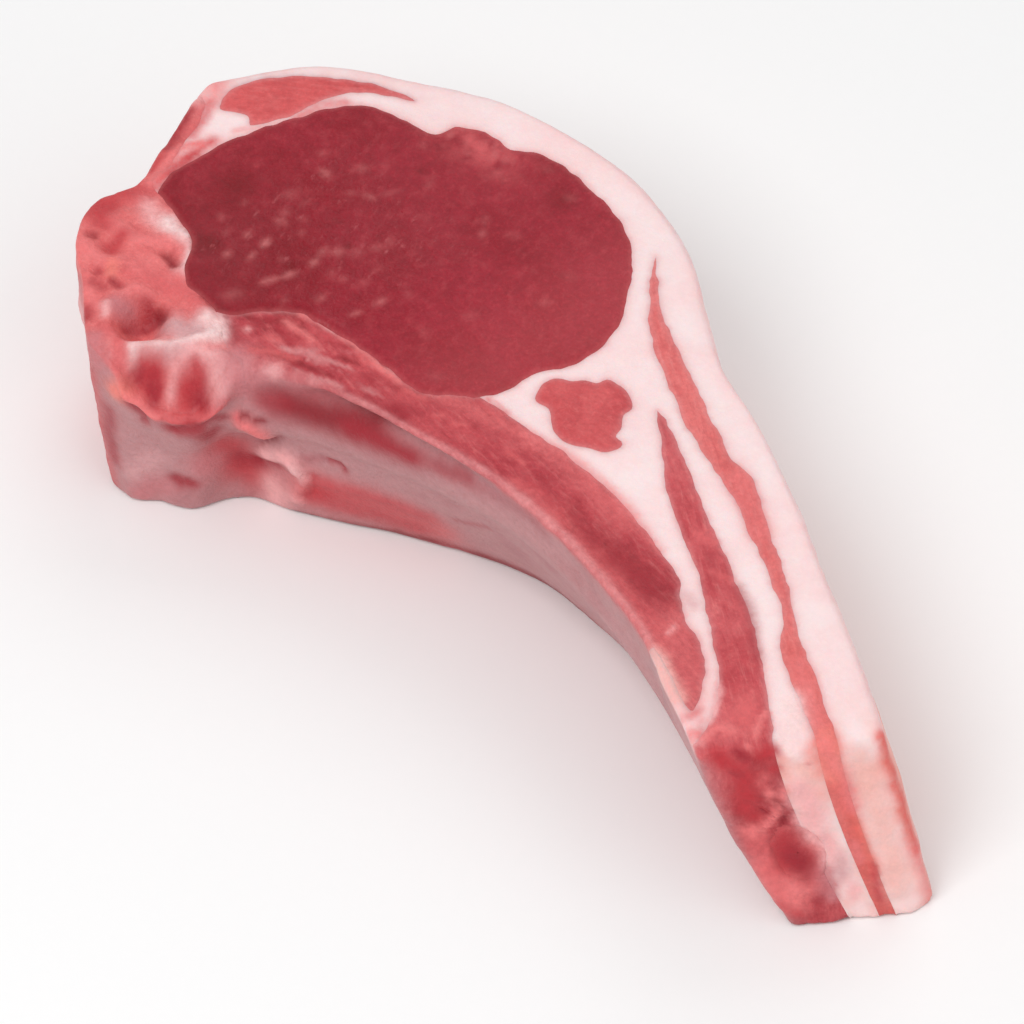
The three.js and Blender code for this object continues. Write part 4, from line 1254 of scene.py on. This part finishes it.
# ---------------------------------------- where each colour shows
class Skin:
    """A piece's vertices: where each lies, on which side it shows, and how near a border is."""

    def __init__(self, body, name, points, levels):
        division = body.division
        self.name = name
        self.spots = body.at(points, levels)
        self.plan = division.plan[points]
        self.border = division.border[points]
        self.lower = levels == 0
        gap = np.where(division.on_rim[points], 0, division.rim_gap[points])
        self.share = rim.read(rim.share, division.rim_place[points]) * np.exp(-gap / 0.8)[:, None]
        self.below = body.height[points] - self.spots[:, 2]
        wall = smoothstep(self.below, 0.2, 1.6)
        self.top = 1 - wall
        self.outer, self.tail, self.inner, self.back = (self.share * wall[:, None]).T
        self.patches = rough(self.spots, 5.0, 71)
        self.small = rough(self.spots, 1.8, 73)


def fat_masks(skin, masks):
    """Pink at the borders, and salmon blotches down the outer side, most towards the tail."""
    x = skin.plan[:, 0]
    edge = skin.share[:, 0]
    masks["deep"] += (0.2 * bump(skin.border, 0.9) + 0.28 * bump(skin.border, 0.35)) * skin.top
    masks["deep"] += 0.25 * bump(skin.below - 0.5, 0.5) * edge
    deeper = edge * smoothstep(skin.below + 1.2 * skin.patches, 0.8, 4.4)
    blotch = 0.6 * smoothstep(x, -60, 45) + 0.5 * rough(skin.spots, (16, 16, 11), 91)
    masks["film"] += deeper * np.clip(0.3 + 0.5 * skin.patches, 0, 0.6)
    masks["warm"] += deeper * np.clip(0.22 + blotch + 0.12 * skin.small, 0.05, 1)
    masks["warm"] += skin.tail * np.clip(0.35 + 0.5 * skin.patches, 0, 1)
    masks["warm"] += 0.6 * skin.top * smoothstep(x, 58, 66) * np.clip(0.4 + skin.patches, 0, 1)


def vertebra_masks(skin, masks):
    masks["deep"] += skin.back * np.clip(0.1 + 0.5 * skin.patches, 0, 1)


def rib_muscle_masks(skin, masks):
    """A dark middle, and pale and dark strands near the backbone."""
    x, y = skin.plan.T
    masks["deep"] += 0.5 * bump(x - 25, 11) * bump(y + 8.6, 2.2) * skin.top
    along = np.column_stack([0.94 * x + 0.34 * y, 0.94 * y - 0.34 * x, np.zeros(len(x))])
    strands = rough(along, (5, 1.1, 1), 85)
    here = smoothstep(x, -8, -20) * skin.top
    masks["pale"] += 0.45 * here * smoothstep(strands, 0.1, 0.6)
    masks["deep"] += 0.6 * here * smoothstep(strands, -0.1, -0.6)


def eye_masks(skin, masks):
    """Darker towards the backbone, with blood at its border, a pale patch and flecks of fat."""
    x, y = skin.plan.T
    masks["deep"] += 0.5 * bump(np.hypot(x + 46, y + 10), 16) + 0.12 * smoothstep(x, -20, -56)
    for at_x, at_y, radius in DARK_SPOTS:
        masks["deep"] += 0.6 * bump(np.hypot(x - at_x, y - at_y) + 0.3 * skin.small, radius)
    patch = bump(np.hypot((x + 41.4) / 1.7, y - 26.6), 3.8)
    masks["warm"] += patch * np.clip(0.75 + skin.small, 0, 1) + 0.25 * smoothstep(x, -26, -8)
    masks["pale"] += 0.4 * patch * smoothstep(rough(skin.spots, 1.6, 83), 0.0, 0.6)
    masks["pale"] = np.maximum(masks["pale"], fleck_share(skin.plan))
    across = smoothstep(x, -56, -50) * smoothstep(x, -24, -32)
    masks["film"] += across * smoothstep(y, -16, -10) * smoothstep(y, 17, 11)


def strip_masks(skin, masks):
    masks["deep"] += skin.tail * np.clip(0.2 + 0.5 * skin.patches, 0, 1)
    if skin.name == "outer_strip_muscle":
        masks["warm"] += 0.5 * smoothstep(skin.plan[:, 0], 40, 64)


MASKERS = {FAT: fat_masks, "vertebra": vertebra_masks, "rib_muscle": rib_muscle_masks,
           "eye_muscle": eye_masks}


def masks_for(skin):
    """How much of each of the look's mask colours shows at each vertex."""
    masks = {mask: np.zeros(len(skin.spots)) for mask in MASKS}
    MASKERS.get(skin.name, strip_masks)(skin, masks)
    if skin.name not in (FAT, "vertebra"):
        masks["pale"] += 0.26 * bump(skin.border, 0.45) * skin.top
    if skin.name != FAT:
        edge = np.clip(skin.share.sum(axis=1) - 0.7 * skin.share[:, 1], 0, 1)
        masks["deep"] += 0.7 * smoothstep(skin.spots[:, 2], 2.2, 0.4) * edge
    return {mask: np.clip(values, 0, 1) for mask, values in masks.items()}


def fleck_share(plan):
    """How strongly a fleck of fat shows at each point: strongest in its middle, ragged, tapered."""
    share = np.zeros(len(plan))
    ragged = 0.75 + 0.5 * rough(with_z(plan, 6), 0.8, 77)
    for strength, width, line in FLECKS:
        middle = spline(line, step=0.15)
        reach, number = nearest(plan, middle)
        taper = np.sin(math.pi * np.clip((number + 1.5) / (len(middle) + 2), 0, 1)) ** 0.6
        here = strength * ragged * taper * bump(reach, width * (0.5 + 0.5 * taper))
        share = np.maximum(share, here)
    return share


class Paint:
    """Layers of colour on a piece's vertices: each colour times its cover, and the cover."""

    def __init__(self, body, spots):
        self.body = body
        self.spots = spots
        self.layers = np.zeros((len(spots), 4))

    def lay(self, colour, cover):
        cover = np.clip(cover, 0, 1)[:, None]
        self.layers = self.layers * (1 - cover) + np.array(linear(PAINTS[colour])) * cover

    def coat_sides(self, skin):
        """Film on the rib side; blood, flesh and film on the back."""
        wall = smoothstep(skin.below, 0.3, 1.8)
        inner, back = skin.share[:, 2] * wall, skin.share[:, 3] * wall
        patches = rough(self.spots, 6.0, 79)
        self.lay("film", inner * 1.2 * (0.9 + 0.1 * patches))
        self.lay("clay", 0.5 * inner * smoothstep(patches, 0, 0.8))
        self.lay("red", back * (0.75 + 0.25 * patches))
        self.lay("rose", back * smoothstep(rough(self.spots, 4.0, 87), -0.1, 0.5))
        self.lay("mauve", 0.8 * back * smoothstep(rough(self.spots, (6, 6, 4), 89), 0.05, 0.5))

    def brush(self, skin=None):
        """Every stroke; those of the cut face need a skin and show on both cut faces."""
        jitter = 0.3 * np.stack([rough(self.spots, 1.8, seed) for seed in (73, 75, 77)], axis=1)
        for surface, colour, strength, width, _, line in STROKES:
            if surface != "top":
                reach = nearest(self.spots + jitter, on_side(self.body, surface, line))[0]
            elif skin:
                across = nearest(skin.plan + jitter[:, :2], trace(line))[0]
                reach = np.hypot(across, np.where(skin.lower, 0, np.clip(skin.below, 0, None)))
            else:
                continue
            self.lay(colour, strength * np.exp(-((reach / width) ** 2.2)))


# ---------------------------------------- pieces
def link(name, data):
    made = bpy.data.objects.new(name, data)
    bpy.context.scene.collection.objects.link(made)
    return made


def make_piece(name, node, spots, faces, masks, paint):
    spots = (spots - [MIDDLE[0], MIDDLE[1], 0]) * MM
    low, high = (np.array(corner) for corner in CAD_BOX)
    spots = np.clip(spots, low, high)
    mesh = bpy.data.meshes.new(name)
    mesh.from_pydata(spots.tolist(), [], faces.tolist())
    mesh.shade_smooth()
    mesh.set_sharp_from_angle(angle=math.radians(SHARP_ANGLE))
    for mask in MASKS:
        layer = mesh.attributes.new(mask, "FLOAT", "POINT")
        layer.data.foreach_set("value", masks[mask].astype(np.float32))
    layer = mesh.attributes.new("paint", "FLOAT_COLOR", "POINT")
    layer.data.foreach_set("color", paint.layers.astype(np.float32).ravel())
    mesh.materials.append(tissue_material(name, LOOKS[node]))
    piece = link(name, mesh)
    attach(piece, "root")
    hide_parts(node)


def build_tissues(body):
    for name in NAMES:
        points, levels, faces = region_shell(body.division, name)
        skin = Skin(body, name, points, levels)
        paint = Paint(body, skin.spots)
        paint.coat_sides(skin)
        if name not in UNPAINTED:
            paint.brush(skin)
        make_piece(f"{name}_shell", name, skin.spots, faces, masks_for(skin), paint)


def build_rib(body):
    spots, faces, share = rib_shell()
    masks = {mask: np.zeros(len(spots)) for mask in MASKS}
    marrow = smoothstep(share + 0.25 * rough(spots, 2.2, 81), 0.85, 0.5)
    masks["deep"] = 0.45 * marrow * (before_tail(spots) > -1.2)
    paint = Paint(body, spots)
    paint.brush()
    make_piece("rib_bone_shell", "rib_bone", spots, faces, masks, paint)


# ---------------------------------------- floor, light, camera
def floor():
    g = Graph("pale_floor")
    speck = g.ramp(g.noise(2, 2.0), 0.4, 0.6, 0, 0.15)
    colour = g.mix(speck, linear((252, 252, 252)), linear((254, 254, 254)))
    g.put(g.shader.inputs["Base Color"], colour)
    g.put(g.shader.inputs["Roughness"], 0.8)
    mesh = bpy.data.meshes.new("floor")
    signs = ((-1, -1), (1, -1), (1, 1), (-1, 1))
    corners = [(x * FLOOR_REACH, y * FLOOR_REACH, 0) for x, y in signs]
    mesh.from_pydata(corners, [], [(0, 1, 2, 3)])
    mesh.materials.append(g.material)
    plane = link("floor", mesh)


def aim(thing, azimuth, elevation, distance, target=(0, 0, 0)):
    """Puts a lamp or a camera at this distance from the target and turns it to face it."""
    a, e = math.radians(azimuth), math.radians(elevation)
    back = Vector((math.sin(a) * math.cos(e), -math.cos(a) * math.cos(e), math.sin(e)))
    thing.location = Vector(target) + back * distance
    thing.rotation_euler = back.to_track_quat("Z", "Y").to_euler()


def studio():
    world = bpy.data.worlds.new("studio")
    world.use_nodes = True
    background = world.node_tree.nodes["Background"]
    background.inputs["Color"].default_value = (1, 1, 1, 1)
    background.inputs["Strength"].default_value = 0.55
    bpy.context.scene.world = world
    for name, (energy, size, azimuth, elevation) in LAMPS.items():
        data = bpy.data.lights.new(name, "AREA")
        data.energy = energy
        data.size = size
        aim(link(name, data), azimuth, elevation, LAMP_DISTANCE)


def camera():
    data = bpy.data.cameras.new("camera")
    data.lens = CAMERA_LENS
    data.sensor_width = 36
    data.clip_start = 0.01
    made = link("camera", data)
    aim(made, CAMERA_AZIMUTH, CAMERA_ELEVATION, CAMERA_DISTANCE, CAMERA_TARGET)
    bpy.context.scene.camera = made


camera()
studio()
floor()
chop = Body(Division())
build_tissues(chop)
build_rib(chop)
bpy.context.scene.view_settings.view_transform = "Standard"
